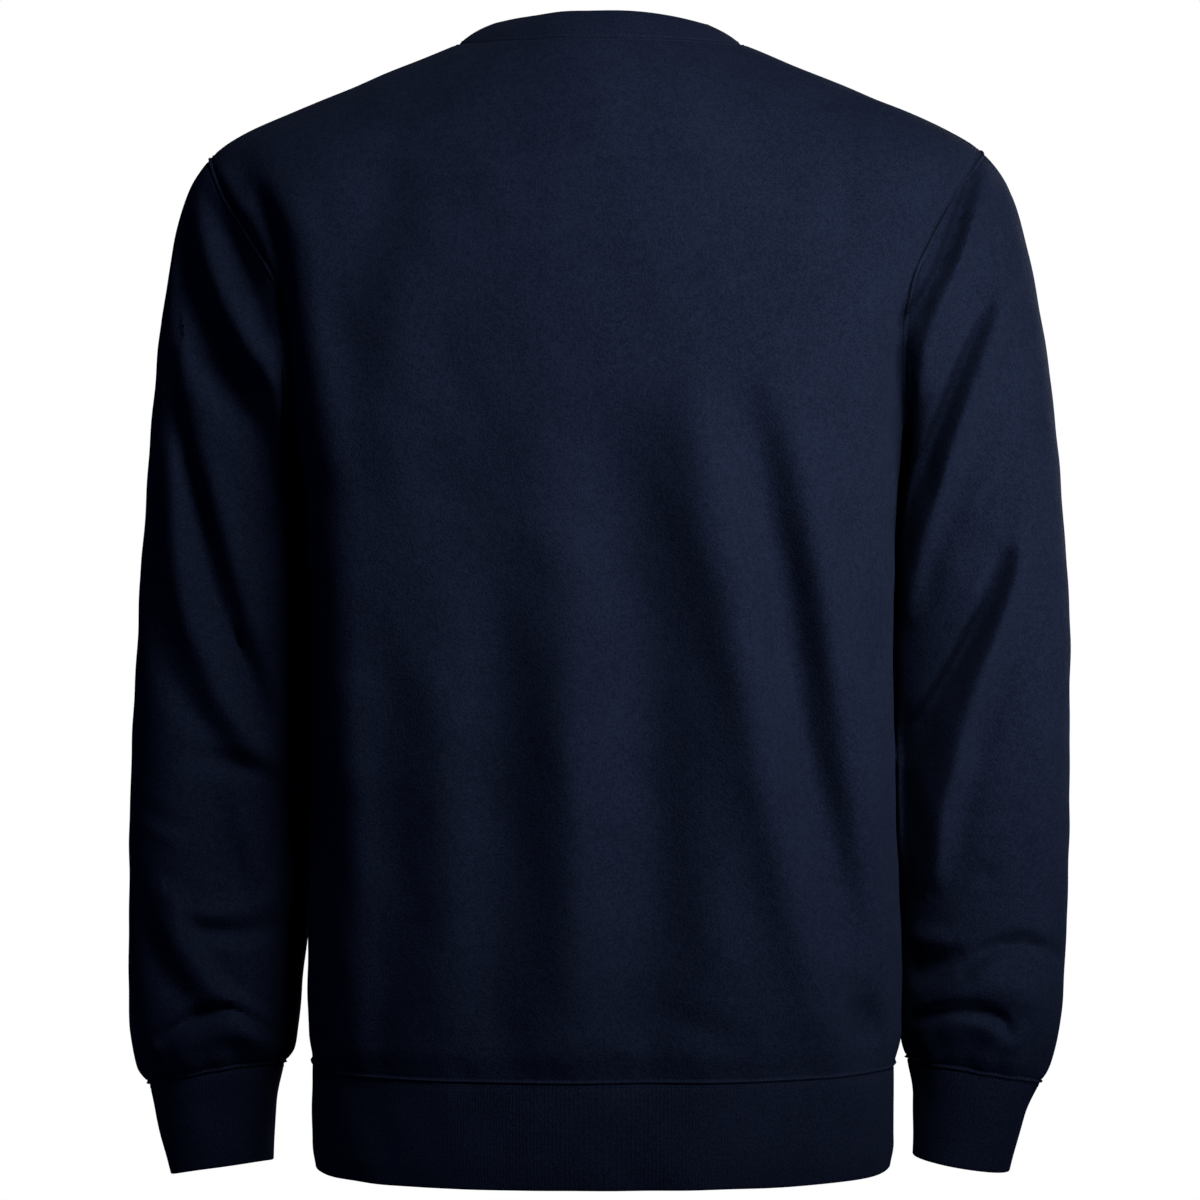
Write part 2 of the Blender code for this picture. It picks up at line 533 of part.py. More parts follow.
def wall_mesh(name, outer, inner, closed, folded_edge=None):
    """A closed wall between two skins of equal layout, as a triangle mesh.

    A closed wall goes all round, and its last column is its first one.
    folded_edge ("top" or "bottom") rounds that rim, as a folded rib edge.
    """
    if closed:
        outer = outer[:, :-1]
        inner = inner[:, :-1]
    rows, columns, _ = outer.shape
    middle = []
    if folded_edge:
        row, beside = (0, 1) if folded_edge == "bottom" else (-1, -2)
        edge = 0.5 * (outer[row] + inner[row])
        away = unit(edge - 0.5 * (outer[beside] + inner[beside]))
        middle = [edge + FOLD_ROUND * away]
    work = bmesh.new()
    outside = [[work.verts.new(point) for point in line] for line in outer]
    inside = [[work.verts.new(point) for point in line] for line in inner]
    rounded = [work.verts.new(point) for point in middle[0]] if middle else []
    spans = columns if closed else columns - 1
    for row in range(rows - 1):
        for column in range(spans):
            side = (column + 1) % columns
            work.faces.new((outside[row][column], outside[row][side],
                            outside[row + 1][side], outside[row + 1][column]))
            work.faces.new((inside[row][column], inside[row + 1][column],
                            inside[row + 1][side], inside[row][side]))
    for column in range(spans):
        side = (column + 1) % columns
        for row, label in ((0, "bottom"), (rows - 1, "top")):
            first, second = (column, side) if label == "bottom" else (side, column)
            if folded_edge == label:
                work.faces.new((outside[row][second], outside[row][first],
                                rounded[first], rounded[second]))
                work.faces.new((rounded[second], rounded[first],
                                inside[row][first], inside[row][second]))
            else:
                work.faces.new((outside[row][second], outside[row][first],
                                inside[row][first], inside[row][second]))
    if not closed:
        for row in range(rows - 1):
            work.faces.new((outside[row][0], outside[row + 1][0],
                            inside[row + 1][0], inside[row][0]))
            work.faces.new((outside[row + 1][-1], outside[row][-1],
                            inside[row][-1], inside[row + 1][-1]))
    bmesh.ops.triangulate(work, faces=work.faces[:], quad_method="SHORT_EDGE")
    mesh = bpy.data.meshes.new(name)
    work.to_mesh(mesh)
    work.free()
    return mesh


def from_edges(grid):
    """Direction from each edge point of a grid to the point next to it inside."""
    inward = np.zeros_like(grid)
    inward[0] = grid[1] - grid[0]
    inward[-1] = grid[-2] - grid[-1]
    inward[1:-1, 0] = grid[1:-1, 1] - grid[1:-1, 0]
    inward[1:-1, -1] = grid[1:-1, -2] - grid[1:-1, -1]
    return unit(inward)


def wall_direction(grid, own, joined):
    """Direction that points outward through a wall at its points.

    Where the neighbour bends away, the two walls share the joined direction,
    so their seam edges are mitred. Where the two fold together, as under the
    arm, each wall keeps its own direction, and they part inside.
    """
    folded = np.sum(from_edges(grid) * joined, axis=-1, keepdims=True)
    turned = np.sum(own * joined, axis=-1, keepdims=True)
    share = smoothstep((turned - MITRE_FROM) / MITRE_RAMP)
    share *= 1.0 - smoothstep((folded - FOLDED_FROM) / FOLDED_RAMP)
    direction = unit(own + (joined - own) * share)
    mitre = np.clip(np.sum(own * direction, axis=-1, keepdims=True), LEAST_MITRE, 1.0)
    return direction / mitre


# --------------------------------------------------------------- objects
def cloth_material(name, colour):
    """Plain dyed cloth."""
    material = bpy.data.materials.new(name)
    material.use_nodes = True
    shader = material.node_tree.nodes["Principled BSDF"]
    shader.inputs["Base Color"].default_value = colour
    shader.inputs["Roughness"].default_value = CLOTH_ROUGHNESS
    shader.inputs["Metallic"].default_value = 0.0
    material.diffuse_color = colour
    return material


def add_piece(collection, name, mesh, colour):
    """Put a mesh in the scene as one named piece with its own material."""
    mesh.materials.append(cloth_material(name + "_cloth", colour))
    piece = bpy.data.objects.new(name, mesh)
    collection.objects.link(piece)
    mesh.shade_smooth()
    mesh.set_sharp_from_angle(angle=math.radians(SHARP_EDGE))
    return piece


def armhole_loops(back, front):
    """Loops of both armholes: from the armpit up the back, down the front."""
    loops = {}
    for side, column in (("left", 0), ("right", -1)):
        rise = back[LOWER_ROWS:, column]
        fall = front[LOWER_ROWS:, column][::-1]
        loops[side] = np.concatenate([rise, fall[1:-1]])
    return loops


def garment_skins():
    """Skins of all pieces, each a grid with outward faces, seams shared."""
    back = panel(True, NECK_COLUMNS, SHOULDER_COLUMNS, LOWER_ROWS, ARMHOLE_ROWS)
    front = panel(False, NECK_COLUMNS, SHOULDER_COLUMNS, LOWER_ROWS, ARMHOLE_ROWS)
    loops = armhole_loops(back, front)
    neck = slice(SHOULDER_COLUMNS, SHOULDER_COLUMNS + NECK_COLUMNS + 1)
    neck_ring = np.concatenate([back[-1, neck], front[-1, neck][::-1][1:-1]])
    body_ring = np.concatenate([back[0], front[0][::-1][1:-1]])
    skins = {
        "back": back,
        "front": front[:, ::-1],
        "waistband": ring_closed(waistband(body_ring, RIB_ROWS)[::-1]),
        "collar": ring_closed(collar(neck_ring, RIB_ROWS)),
    }
    tables = {"left": (SLEEVE_LEFT, CUFF_LEFT, 1.0), "right": (SLEEVE_RIGHT, CUFF_RIGHT, -1.0)}
    for side, (sleeve_table, cuff_table, sign) in tables.items():
        arm = sleeve(sleeve_table, sign, loops[side], SLEEVE_ROWS)
        cuff_at = np.linspace(0.0, 1.0, RIB_ROWS + 1)
        cuff = sleeve_section(cuff_table, sign, cuff_at, len(loops[side]))
        cuff[0] = arm[-1]
        for name, rings in (("sleeve_" + side, arm), ("cuff_" + side, cuff)):
            grid = ring_closed(rings[::-1])
            skins[name] = grid[:, ::-1] if side == "left" else grid
    return skins


SEAM_EDGES = {
    "back": ("bottom", "left", "right", "top"),
    "front": ("bottom", "left", "right", "top"),
    "waistband": ("top",),
    "collar": ("bottom",),
    "sleeve_left": ("bottom", "top"),
    "sleeve_right": ("bottom", "top"),
    "cuff_left": ("top",),
    "cuff_right": ("top",),
}
TORSO_PIECES = ("back", "front", "waistband", "collar")
FOLDED_EDGES = {
    "waistband": "bottom",
    "cuff_left": "bottom",
    "cuff_right": "bottom",
    "collar": "top",
}


def build_sweatshirt():
    """Model the eight pieces."""
    for old in list(bpy.data.objects):
        bpy.data.objects.remove(old, do_unlink=True)
    collection = bpy.data.collections.new("crewneck_sweatshirt")
    bpy.context.scene.collection.children.link(collection)

    skins = garment_skins()
    names = list(skins)
    for name, normals in zip(names, skin_normals(list(skins.values()))):
        pushed = skins[name].copy()
        pushed[..., 1] += fold_push(skins[name], normals)
        skins[name] = pushed

    joined = dict(zip(names, skin_normals([skins[name] for name in names])))
    own = {}
    torso = [name for name in names if name in TORSO_PIECES]
    own.update(zip(torso, skin_normals([skins[name] for name in torso])))
    for side in ("left", "right"):
        arm = ["sleeve_" + side, "cuff_" + side]
        own.update(zip(arm, skin_normals([skins[name] for name in arm])))

    for name in names:
        is_rib = name not in ("back", "front", "sleeve_left", "sleeve_right")
        thickness = RIB if is_rib else FLEECE
        outer = skins[name]
        direction = wall_direction(outer, own[name], joined[name])
        inner = outer - thickness * direction
        closed = name not in ("back", "front")
        mesh = wall_mesh(
            name,
            pull_back(outer, SEAM_EDGES[name]),
            pull_back(inner, SEAM_EDGES[name]),
            closed,
            FOLDED_EDGES.get(name),
        )
        add_piece(collection, name, mesh, NAVY_RIB if is_rib else NAVY_FLEECE)


build_sweatshirt()
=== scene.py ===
"""Crewneck sweatshirt in its worn shape: fleece, folds, seams, stitches and ribs.

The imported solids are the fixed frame. Each is replaced by a finer cloth piece on
the same form, with its creases, seam relief, knit and topstitching.

The frame's axes hold throughout: the wearer faces -Y, the wearer's left is +X and
+Z is up, with the origin in the neck opening. Sizes are metres, and the tables of
folds are millimetres.
"""
import logging
import math
from dataclasses import dataclass, field
from enum import Enum
from typing import Optional, Sequence, Union

import bpy
import numpy as np
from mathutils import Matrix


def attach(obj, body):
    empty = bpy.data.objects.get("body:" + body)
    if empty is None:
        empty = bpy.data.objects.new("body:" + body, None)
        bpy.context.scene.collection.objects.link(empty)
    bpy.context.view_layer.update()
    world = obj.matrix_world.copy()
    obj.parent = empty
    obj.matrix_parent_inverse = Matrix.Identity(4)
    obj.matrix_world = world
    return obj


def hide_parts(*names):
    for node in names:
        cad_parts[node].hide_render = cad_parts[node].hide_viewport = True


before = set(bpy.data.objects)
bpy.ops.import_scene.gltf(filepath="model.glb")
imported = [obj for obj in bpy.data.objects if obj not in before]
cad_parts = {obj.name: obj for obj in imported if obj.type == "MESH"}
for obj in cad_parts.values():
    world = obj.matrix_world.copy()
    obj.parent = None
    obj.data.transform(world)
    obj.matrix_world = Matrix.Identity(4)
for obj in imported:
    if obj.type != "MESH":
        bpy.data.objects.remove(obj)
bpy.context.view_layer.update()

Array = np.ndarray
log = logging.getLogger("sweatshirt")

MM = 0.001
TINY = 1e-12
SAME_PLACE = 6             # decimals in metres by which points count as one
FLEECE_WALL = 0.0020
RIB_WALL = 0.0030
SEAM_GAP = 0.0001
RIM_ROUND = 0.0010         # how far a folded rib edge rounds past its rim
SHARP_EDGE = 50.0          # degrees
RIB_SPACING = 0.0018       # rows of waistband and cuffs

# Distances from a seam at which a piece has its rows, before its even ones begin.
SEAM_STEPS = (0.0, 0.0006, 0.0012, 0.0020, 0.0028, 0.0037, 0.0049, 0.0064, 0.0083, 0.0108)


# ------------------------------------------------------------------ helpers
def unit(vectors: Array) -> Array:
    """Vectors scaled to length 1."""
    length = np.linalg.norm(vectors, axis=-1, keepdims=True)
    return vectors / np.maximum(length, TINY)


def smoothstep(value: Array) -> Array:
    """Ramp from 0 to 1 with level ends: 3v^2 - 2v^3."""
    value = np.clip(value, 0.0, 1.0)
    return value * value * (3.0 - 2.0 * value)


def smooth_curve(rows: Sequence, key: str, name: str, at: Array) -> Array:
    """Value of one column of a table at the places `at`, on a smooth curve.

    Cubic Hermite pieces whose slope at a row is the harmonic mean of the slopes
    on both sides, and nought at a turning point.

    Args:
        rows: table rows, in rising order of their key.
        key: name of the column that `at` is given in.
        name: name of the wanted column.
        at: places, kept within the table.

    Returns:
        The values, in the shape of `at`.
    """
    xs = np.array([getattr(row, key) for row in rows])
    ys = np.array([getattr(row, name) for row in rows])
    rise = np.diff(ys) / np.diff(xs)
    slope = np.zeros_like(ys)
    same_way = rise[:-1] * rise[1:] > 0.0
    total = np.where(same_way, rise[:-1] + rise[1:], 1.0)
    slope[1:-1] = np.where(same_way, 2.0 * rise[:-1] * rise[1:] / total, 0.0)
    slope[0] = rise[0]
    slope[-1] = rise[-1]
    at = np.clip(at, xs[0], xs[-1])
    span = np.clip(np.searchsorted(xs, at, side="right") - 1, 0, len(xs) - 2)
    width = xs[span + 1] - xs[span]
    u = (at - xs[span]) / width
    return (
        ys[span] * (1.0 + 2.0 * u) * (1.0 - u) ** 2
        + slope[span] * width * u * (1.0 - u) ** 2
        + ys[span + 1] * u * u * (3.0 - 2.0 * u)
        - slope[span + 1] * width * u * u * (1.0 - u)
    )


def smooth_line(points: Array, steps: int) -> Array:
    """Catmull-Rom line through a few points.

    Args:
        points: the points, in order.
        steps: how many pieces each stretch between two of them gets.

    Returns:
        The corners of the line, with both ends.
    """
    ends = np.concatenate([[2.0 * points[0] - points[1]], points, [2.0 * points[-1] - points[-2]]])
    u = (np.arange(steps) / steps)[:, None]
    a, b, c, d = ends[:-3, None], ends[1:-2, None], ends[2:-1, None], ends[3:, None]
    lines = 0.5 * (
        2.0 * b + (c - a) * u + (2.0 * a - 5.0 * b + 4.0 * c - d) * u ** 2
        + (3.0 * b - 3.0 * c + d - a) * u ** 3
    )
    return np.concatenate([lines.reshape(-1, points.shape[1]), points[-1:]])


def nearest_on_line(points: Array, line: Array, chunk: int = 4096) -> tuple[Array, Array, Array]:
    """Nearest place on a polyline for each point.

    Args:
        points: N points in 2 or 3 dimensions.
        line: the polyline's corners.
        chunk: how many points are worked out at a time.

    Returns:
        Distance from the line, run along it, and the number of its piece.
    """
    step = np.diff(line, axis=0)
    length = np.linalg.norm(step, axis=1)
    begin = np.concatenate([[0.0], np.cumsum(length)[:-1]])
    found = []
    for first in range(0, len(points), chunk):
        away = points[first:first + chunk, None, :] - line[None, :-1]
        along = np.clip(np.sum(away * step, axis=-1) / length ** 2, 0.0, 1.0)
        distance = np.linalg.norm(away - along[..., None] * step, axis=-1)
        best = np.argmin(distance, axis=1)
        row = np.arange(len(best))
        run = begin[best] + along[row, best] * length[best]
        found.append(np.stack([distance[row, best], run, best], axis=1))
    result = np.concatenate(found)
    return result[:, 0], result[:, 1], result[:, 2].astype(int)


def run_length(grid: Array, axis: int) -> Array:
    """Length travelled from a grid's first row (axis 0) or column (axis 1)."""
    steps = np.linalg.norm(np.diff(grid, axis=axis), axis=-1)
    pad = [(0, 0), (0, 0)]
    pad[axis] = (1, 0)
    return np.cumsum(np.pad(steps, pad), axis=axis)


def there_and_back(first: Array, second: Array) -> Array:
    """A line and then another one backwards, from the end that both share."""
    return np.concatenate([first, second[::-1][1:]])


def from_seams(length: float, spacing: float, both: bool) -> Array:
    """Places from 0 to 1: fine steps beside a seam at the start, and even ones on.

    Args:
        length: real length that 0 to 1 stands for.
        spacing: even step away from the seams.
        both: whether the end lies at a seam too.

    Returns:
        Rising places, with both 0 and 1.
    """
    near = np.array(SEAM_STEPS) / length
    last = 1.0 - near[-1] if both else 1.0
    count = max(2, round((last - near[-1]) * length / spacing))
    middle = np.linspace(near[-1], last, count + 1)[1:]
    tail = 1.0 - near[-2::-1] if both else np.empty(0)
    return np.concatenate([near, middle, tail])


# -------------------------------------------------------------------- folds
class Facing(Enum):
    """The side a fold is seen from: axis it is pushed along, sign, axis across."""

    BACK = (1, 1.0, 0)
    FRONT = (1, -1.0, 0)
    LEFT = (0, 1.0, 1)
    RIGHT = (0, -1.0, 1)


class Part(Enum):
    """Which cloth a fold lies in."""

    ANY = 0
    BODY = 1
    LEFT_ARM = 2
    RIGHT_ARM = 3


@dataclass(frozen=True)
class Fold:
    """A soft trough (depth below 0) or ridge along a smooth line, in millimetres.

    The line's places are (x, z) on the back and front, and (y, z) on the sides.
    Across it the cloth moves by depth (1 - rise q^2) exp(-q^2 / 2), where q is
    the distance over the width, so it swells a little on both flanks. `lean`
    makes one flank wider than the other.
    """

    facing: Facing
    line: tuple[tuple[float, float], ...]
    width: float
    depth: float
    lean: float
    part: Part

    RISE = 0.45
    REACH = 3.6
    END = 0.06
    TURN_FROM = 0.10
    TURN_RAMP = 0.45
    LINE_STEPS = 8

    def push(self, points: Array, normals: Array) -> Array:
        """Signed move of each point along the facing's axis.

        Args:
            points: grid of points, (..., 3).
            normals: their outward normals.

        Returns:
            Moves in metres, in the grid's shape.
        """
        axis, sign, across = self.facing.value
        line = smooth_line(np.array(self.line, dtype=float) * MM, self.LINE_STEPS)
        flat = points.reshape(-1, 3)[:, (across, 2)]
        turned = sign * normals.reshape(-1, 3)[:, axis]
        margin = self.REACH * self.width * MM * (1.0 + abs(self.lean))
        near = np.all((flat > line.min(0) - margin) & (flat < line.max(0) + margin), axis=1)
        near &= turned > self.TURN_FROM
        moves = np.zeros(len(flat))
        if not near.any():
            return moves.reshape(points.shape[:-1])
        distance, run, piece = nearest_on_line(flat[near], line)
        away = flat[near] - line[piece]
        step = np.diff(line, axis=0)[piece]
        hand = np.sign(step[:, 0] * away[:, 1] - step[:, 1] * away[:, 0])
        q = distance / (self.width * MM * (1.0 + self.lean * hand))
        whole = np.linalg.norm(np.diff(line, axis=0), axis=1).sum()
        share = self.END + (1.0 - 2.0 * self.END) * run / whole
        shape = (1.0 - self.RISE * q * q) * np.exp(-0.5 * q * q) * np.sqrt(np.sin(math.pi * share))
        weight = smoothstep((turned[near] - self.TURN_FROM) / self.TURN_RAMP)
        moves[near] = sign * self.depth * MM * shape * weight
        return moves.reshape(points.shape[:-1])


BACK, FRONT, LEFT, RIGHT = Facing


def folds(facing: Facing, *rows: tuple, part: Part = Part.ANY) -> tuple[Fold, ...]:
    """Folds that are seen from one side.

    Args:
        facing: the side.
        rows: for each fold its width, depth and lean, and then the places of its line.
        part: the cloth they lie in.

    Returns:
        The folds.
    """
    return tuple(Fold(facing, row[3:], *row[:3], part) for row in rows)


BODY_FOLDS = (
    *folds(
        BACK,
        # valley beside the left armhole, and the bulge between it and the back
        (5, -7, 0, (207, -99), (200, -113), (195, -131), (192, -149), (190, -180)),
        (9, 11, 0, (238, -80), (226, -100), (212, -124), (197, -150)),
        (14, 10, 0, (192, -101), (186, -122), (182, -147), (177, -193), (171, -223), (167, -255)),
        (18, -6, 0, (128, -76), (134, -120), (142, -160), (146, -205)),
        # upper back
        (12, -1.5, 0, (168, -66), (150, -84), (128, -92)),
        (11, -2.5, 0, (-146, -70), (-148, -112), (-150, -155)),
        # long soft folds that hang from the shoulder blades
        (23, -12.5, 0, (-5, -255), (-16, -310), (-27, -370), (-30, -440), (-33, -510), (-28, -612)),
        (42, 16, 0, (163, -130), (153, -240), (147, -340), (143, -440)),
        (17, 10.5, 0, (-55, -225), (-66, -300), (-79, -350), (-91, -420), (-105, -480), (-134, -590)),
        (14, -12.5, 0, (-88, -235), (-103, -300), (-113, -350), (-121, -420), (-133, -480), (-146, -540)),
        (14, 7.5, 0, (-118, -255), (-133, -320), (-147, -400), (-158, -460), (-168, -525)),
        (19, -8, 0, (59, -335), (60, -420), (57, -500), (62, -570), (66, -610)),
        (16, 6, 0, (20, -380), (18, -450), (14, -520), (18, -600)),
        (13, -2, 0, (126, -370), (124, -440), (117, -510), (118, -580)),
        (13, 1.5, 0, (93, -380), (92, -460), (88, -540)),
        (19, 11, 0, (172, -210), (166, -300), (162, -360), (156, -440)),
        (13, 7, 0, (158, -400), (150, -490), (148, -612)),
        # small hollows over the waistband
        (12, -14, 0, (-154, -584), (-158, -600), (-163, -616)),
        (9, -3, 0, (-40, -592), (-62, -600), (-80, -606)),
        (7, 1.5, 0, (-6, -604), (-24, -617)),
        (8, -2.5, 0, (128, -588), (133, -618)),
    ),
    *folds(
        FRONT,
        # valleys, ridges and hollows like the back's
        (10, -8, 0, (200, -96), (188, -122), (183, -155), (180, -200), (176, -240)),
        (10, -8, 0, (-200, -96), (-188, -122), (-182, -158), (-179, -200), (-175, -245)),
        (8, 4, 0, (176, -118), (173, -155), (168, -200)),
        (8, 4, 0, (-176, -120), (-172, -158), (-167, -205)),
        (13, -6, 0, (134, -100), (140, -150), (150, -200), (154, -270)),
        (13, -6, 0, (-136, -100), (-142, -150), (-152, -205), (-156, -290)),
        (23, -7, 0, (22, -250), (30, -340), (38, -430), (42, -520), (40, -612)),
        (17, 6, 0, (68, -290), (80, -370), (92, -460), (102, -600)),
        (12, -5, 0, (98, -300), (112, -380), (124, -470), (136, -560)),
        (18, -5.5, 0, (-45, -330), (-48, -420), (-44, -520), (-48, -612)),
        (15, 3, 0, (-12, -380), (-8, -470), (-4, -600)),
        (15, 4, 0, (-84, -330), (-92, -420), (-96, -520), (-98, -605)),
        (13, -5, 0, (-118, -330), (-124, -420), (-126, -520), (-130, -590)),
        (11, 3, 0, (148, -330), (150, -450), (146, -600)),
        (11, 3, 0, (-150, -340), (-152, -460), (-148, -600)),
        (12, -1.8, 0, (70, -92), (92, -118), (120, -136)),
        (12, -1.8, 0, (-66, -94), (-92, -122), (-124, -140)),
        (8, -2.5, 0, (-20, -598), (-16, -620)),
        (9, -3, 0, (150, -590), (146, -616)),
    ),
)
LEFT_ARM_FOLDS = (
    *folds(
        BACK,
        # the flat lie of the whole sleeve
        (25, -7, 0, (238, -120), (240, -200), (236, -300), (234, -420), (238, -600)),
        # slanting folds of the upper sleeve
        (10, 10.5, -0.2, (246, -88), (243, -118), (236, -144), (225, -170), (211, -194),
         (199, -209), (190, -230), (184, -262)),
        (5, -2.5, 0, (227, -118), (219, -142), (209, -166), (199, -186)),
        (10, -11.5, 0,
         (262, -118), (256, -148), (248, -172), (238, -197), (225, -217), (212, -238), (199, -266)),
        (14, 11, -0.5, (256, -190), (253, -213), (247, -247), (239, -288), (231, -329), (225, -356)),
        (7, -8, 0,
         (258, -225), (252, -258), (245, -288), (237, -319), (229, -350), (219, -381), (206, -415)),
        (10, 10.5, 0,
         (264, -255), (263, -299), (259, -330), (253, -356), (243, -381), (230, -412), (205, -446)),
        (9, -3.5, 0, (283, -340), (272, -375), (258, -405), (240, -428)),
        # soft creases at the elbow and above the wrist
        (7, -5, 0, (250, -443), (228, -446), (208, -452), (194, -460)),
        (11, 2.5, -0.3, (226, -462), (216, -495), (206, -528)),
        (6, 2.2, 0, (266, -524), (247, -539), (221, -536), (198, -527)),
        (6, -4.5, 0, (254, -549), (222, -551), (196, -547)),
        (9, 7.5, 0.35, (266, -530), (260, -547), (249, -570), (234, -588), (219, -600), (205, -611)),
        (9, -3.5, 0, (288, -520), (280, -552), (266, -578), (250, -594)),
        (4, -6.5, 0, (272, -617), (254, -604), (238, -598), (224, -599), (211, -608), (198, -618)),
        (8, 6, 0, (258, -620), (234, -612), (206, -619)),
    ),
    *folds(
        BACK,
        # faint creases at the outer edge
        (4, 1.2, 0, (287, -484), (273, -489), (259, -495)),
        (5, -1.2, 0, (287, -475), (271, -481), (254, -487)),
        part=Part.LEFT_ARM,
    ),
    *folds(
        FRONT,
        # the flat lie, slanting folds, and creases at the elbow and wrist
        (25, -5, 0, (238, -120), (240, -200), (236, -300), (234, -420), (238, -600)),
        (9, 5, 0, (252, -98), (243, -135), (228, -172), (210, -208), (196, -250)),
        (10, -8.5, 0, (262, -118), (252, -165), (234, -212), (214, -252), (198, -290)),
        (11, 5, 0, (264, -200), (250, -255), (234, -305), (216, -350)),
        (9, -8, 0, (272, -230), (254, -285), (236, -335), (216, -378), (200, -402)),
        (10, 5.5, 0, (276, -300), (262, -345), (244, -385), (222, -418)),
        (9, -5.5, 0, (284, -360), (266, -398), (246, -426), (220, -448)),
        (8, -4.5, 0, (206, -478), (232, -504), (260, -526), (282, -552)),
        (8, -6, 0, (204, -540), (230, -558), (260, -580), (282, -604)),
        (8, 4, 0, (206, -558), (230, -576), (254, -596)),
        (4.5, -5, 0, (204, -622), (220, -608), (242, -603), (264, -612), (278, -626)),
        (8, 3, 0, (212, -626), (240, -616), (268, -627)),
    ),
    *folds(
        RIGHT,
        # under the arm
        (14, 9, 0, (-46, -252), (-46, -298)),
        part=Part.LEFT_ARM,
    ),
    *folds(
        LEFT,
        # the outer side
        (13, -3, 0, (-74, -184), (-62, -198), (-52, -206)),
        (12, -3.2, 0, (-86, -296), (-74, -312), (-62, -320)),
        (11, -3, 0, (-90, -404), (-76, -420), (-64, -426)),
        (10, -3, 0, (-88, -544), (-76, -554), (-64, -558)),
        part=Part.LEFT_ARM,
    ),
)
RIGHT_ARM_FOLDS = (
    *folds(
        BACK,
        # creases and ridges of the upper sleeve
        (4.5, -8.5, 0, (-228, -84), (-217, -119), (-207, -144), (-194, -167), (-181, -176)),
        (7, 8, 0, (-238, -84), (-225, -119), (-216, -144), (-204, -171), (-197, -190), (-191, -215)),
        (6, -7, 0, (-180, -196), (-181, -228), (-178, -268)),
        (5, -8, 0, (-236, -168), (-224, -194), (-209, -235), (-197, -276), (-184, -308)),
        (8, 10.5, 0, (-249, -158), (-236, -196), (-220, -237), (-207, -278), (-196, -311), (-187, -350)),
        # elbow
        (6, -12, 0, (-250, -318), (-242, -342), (-231, -366), (-220, -388), (-207, -410), (-190, -440)),
        (12, -12, 0, (-190, -425), (-185, -465), (-187, -525)),
        (10, 14, 0.15,
         (-258, -322), (-248, -354), (-236, -388), (-225, -420), (-218, -448), (-211, -474), (-206, -515)),
        # above the wrist
        (6, 5, 0, (-188, -554), (-204, -556), (-220, -557)),
        (9, -9, 0, (-190, -576), (-204, -575), (-218, -568)),
        (12, 9, 0, (-208, -596), (-226, -586), (-248, -584), (-272, -592)),
        (4, -8, 0, (-199, -607), (-214, -600), (-232, -599), (-247, -604), (-254, -614)),
        (8, 5, 0, (-206, -618), (-232, -608), (-256, -620)),
    ),
    *folds(
        BACK,
        # creases of the outer half
        (10, 3.5, 0, (-266, -262), (-263, -300), (-256, -328)),
        (4, -1.6, 0, (-216, -478), (-246, -478), (-282, -476)),
        (5, -2, 0, (-232, -513), (-243, -516)),
        (5, -6.5, 0, (-226, -574), (-242, -562), (-264, -558), (-288, -568)),
        part=Part.RIGHT_ARM,
    ),
    *folds(
        FRONT,
        # the flat lie, slanting folds, and creases at the elbow and wrist
        (25, -5, 0, (-236, -120), (-240, -200), (-238, -300), (-236, -420), (-238, -600)),
        (9, 5, 0, (-250, -98), (-240, -138), (-224, -176), (-206, -214), (-195, -255)),
        (10, -8.5, 0, (-260, -120), (-248, -170), (-230, -216), (-210, -256), (-196, -292)),
        (11, 5, 0, (-266, -190), (-250, -246), (-232, -296), (-214, -336)),
        (9, -8, 0, (-274, -225), (-254, -280), (-234, -326), (-212, -364)),
        (10, 5.5, 0, (-280, -290), (-262, -340), (-242, -380), (-220, -410)),
        (9, -5.5, 0, (-284, -350), (-264, -392), (-242, -420), (-216, -442)),
        (8, -4.5, 0, (-208, -484), (-236, -506), (-262, -530), (-280, -556)),
        (8, -6, 0, (-206, -536), (-232, -556), (-256, -580), (-272, -602)),
        (8, 4, 0, (-206, -556), (-230, -576), (-250, -596)),
        (4.5, -5, 0, (-202, -620), (-218, -607), (-238, -603), (-258, -612), (-270, -625)),
        (8, 3, 0, (-208, -625), (-234, -616), (-260, -627)),
    ),
    *folds(
        LEFT,
        # under the arm
        (14, 9, 0, (-46, -252), (-46, -298)),
        part=Part.RIGHT_ARM,
    ),
    *folds(
        RIGHT,
        # the outer side
        (13, -3, 0, (-78, -178), (-66, -194), (-56, -202)),
        (12, -3.2, 0, (-94, -290), (-82, -306), (-70, -314)),
        (11, -3, 0, (-100, -392), (-86, -408), (-74, -414)),
        (10, -3, 0, (-100, -536), (-86, -550), (-74, -554)),
        part=Part.RIGHT_ARM,
    ),
)
FOLDS = BODY_FOLDS + LEFT_ARM_FOLDS + RIGHT_ARM_FOLDS


@dataclass(frozen=True)
class Unevenness:
    """Faint hollows all over the cloth: a sum of slow waves through space."""

    height: float = 0.0007
    waves: tuple[tuple[float, float, float, float], ...] = (
        (61.0, 83.0, 47.0, 0.4),
        (-93.0, 51.0, 71.0, 1.9),
        (128.0, -67.0, -109.0, 3.1),
        (-151.0, 113.0, 62.0, 4.6),
        (37.0, -139.0, 173.0, 5.5),
    )

    def relief(self, points: Array) -> Array:
        """Move of each point along its normal: mean of sin(k . p + phase)."""
        k = np.array(self.waves)
        return self.height * np.sin(points @ k[:, :3].T + k[:, 3]).mean(axis=-1)


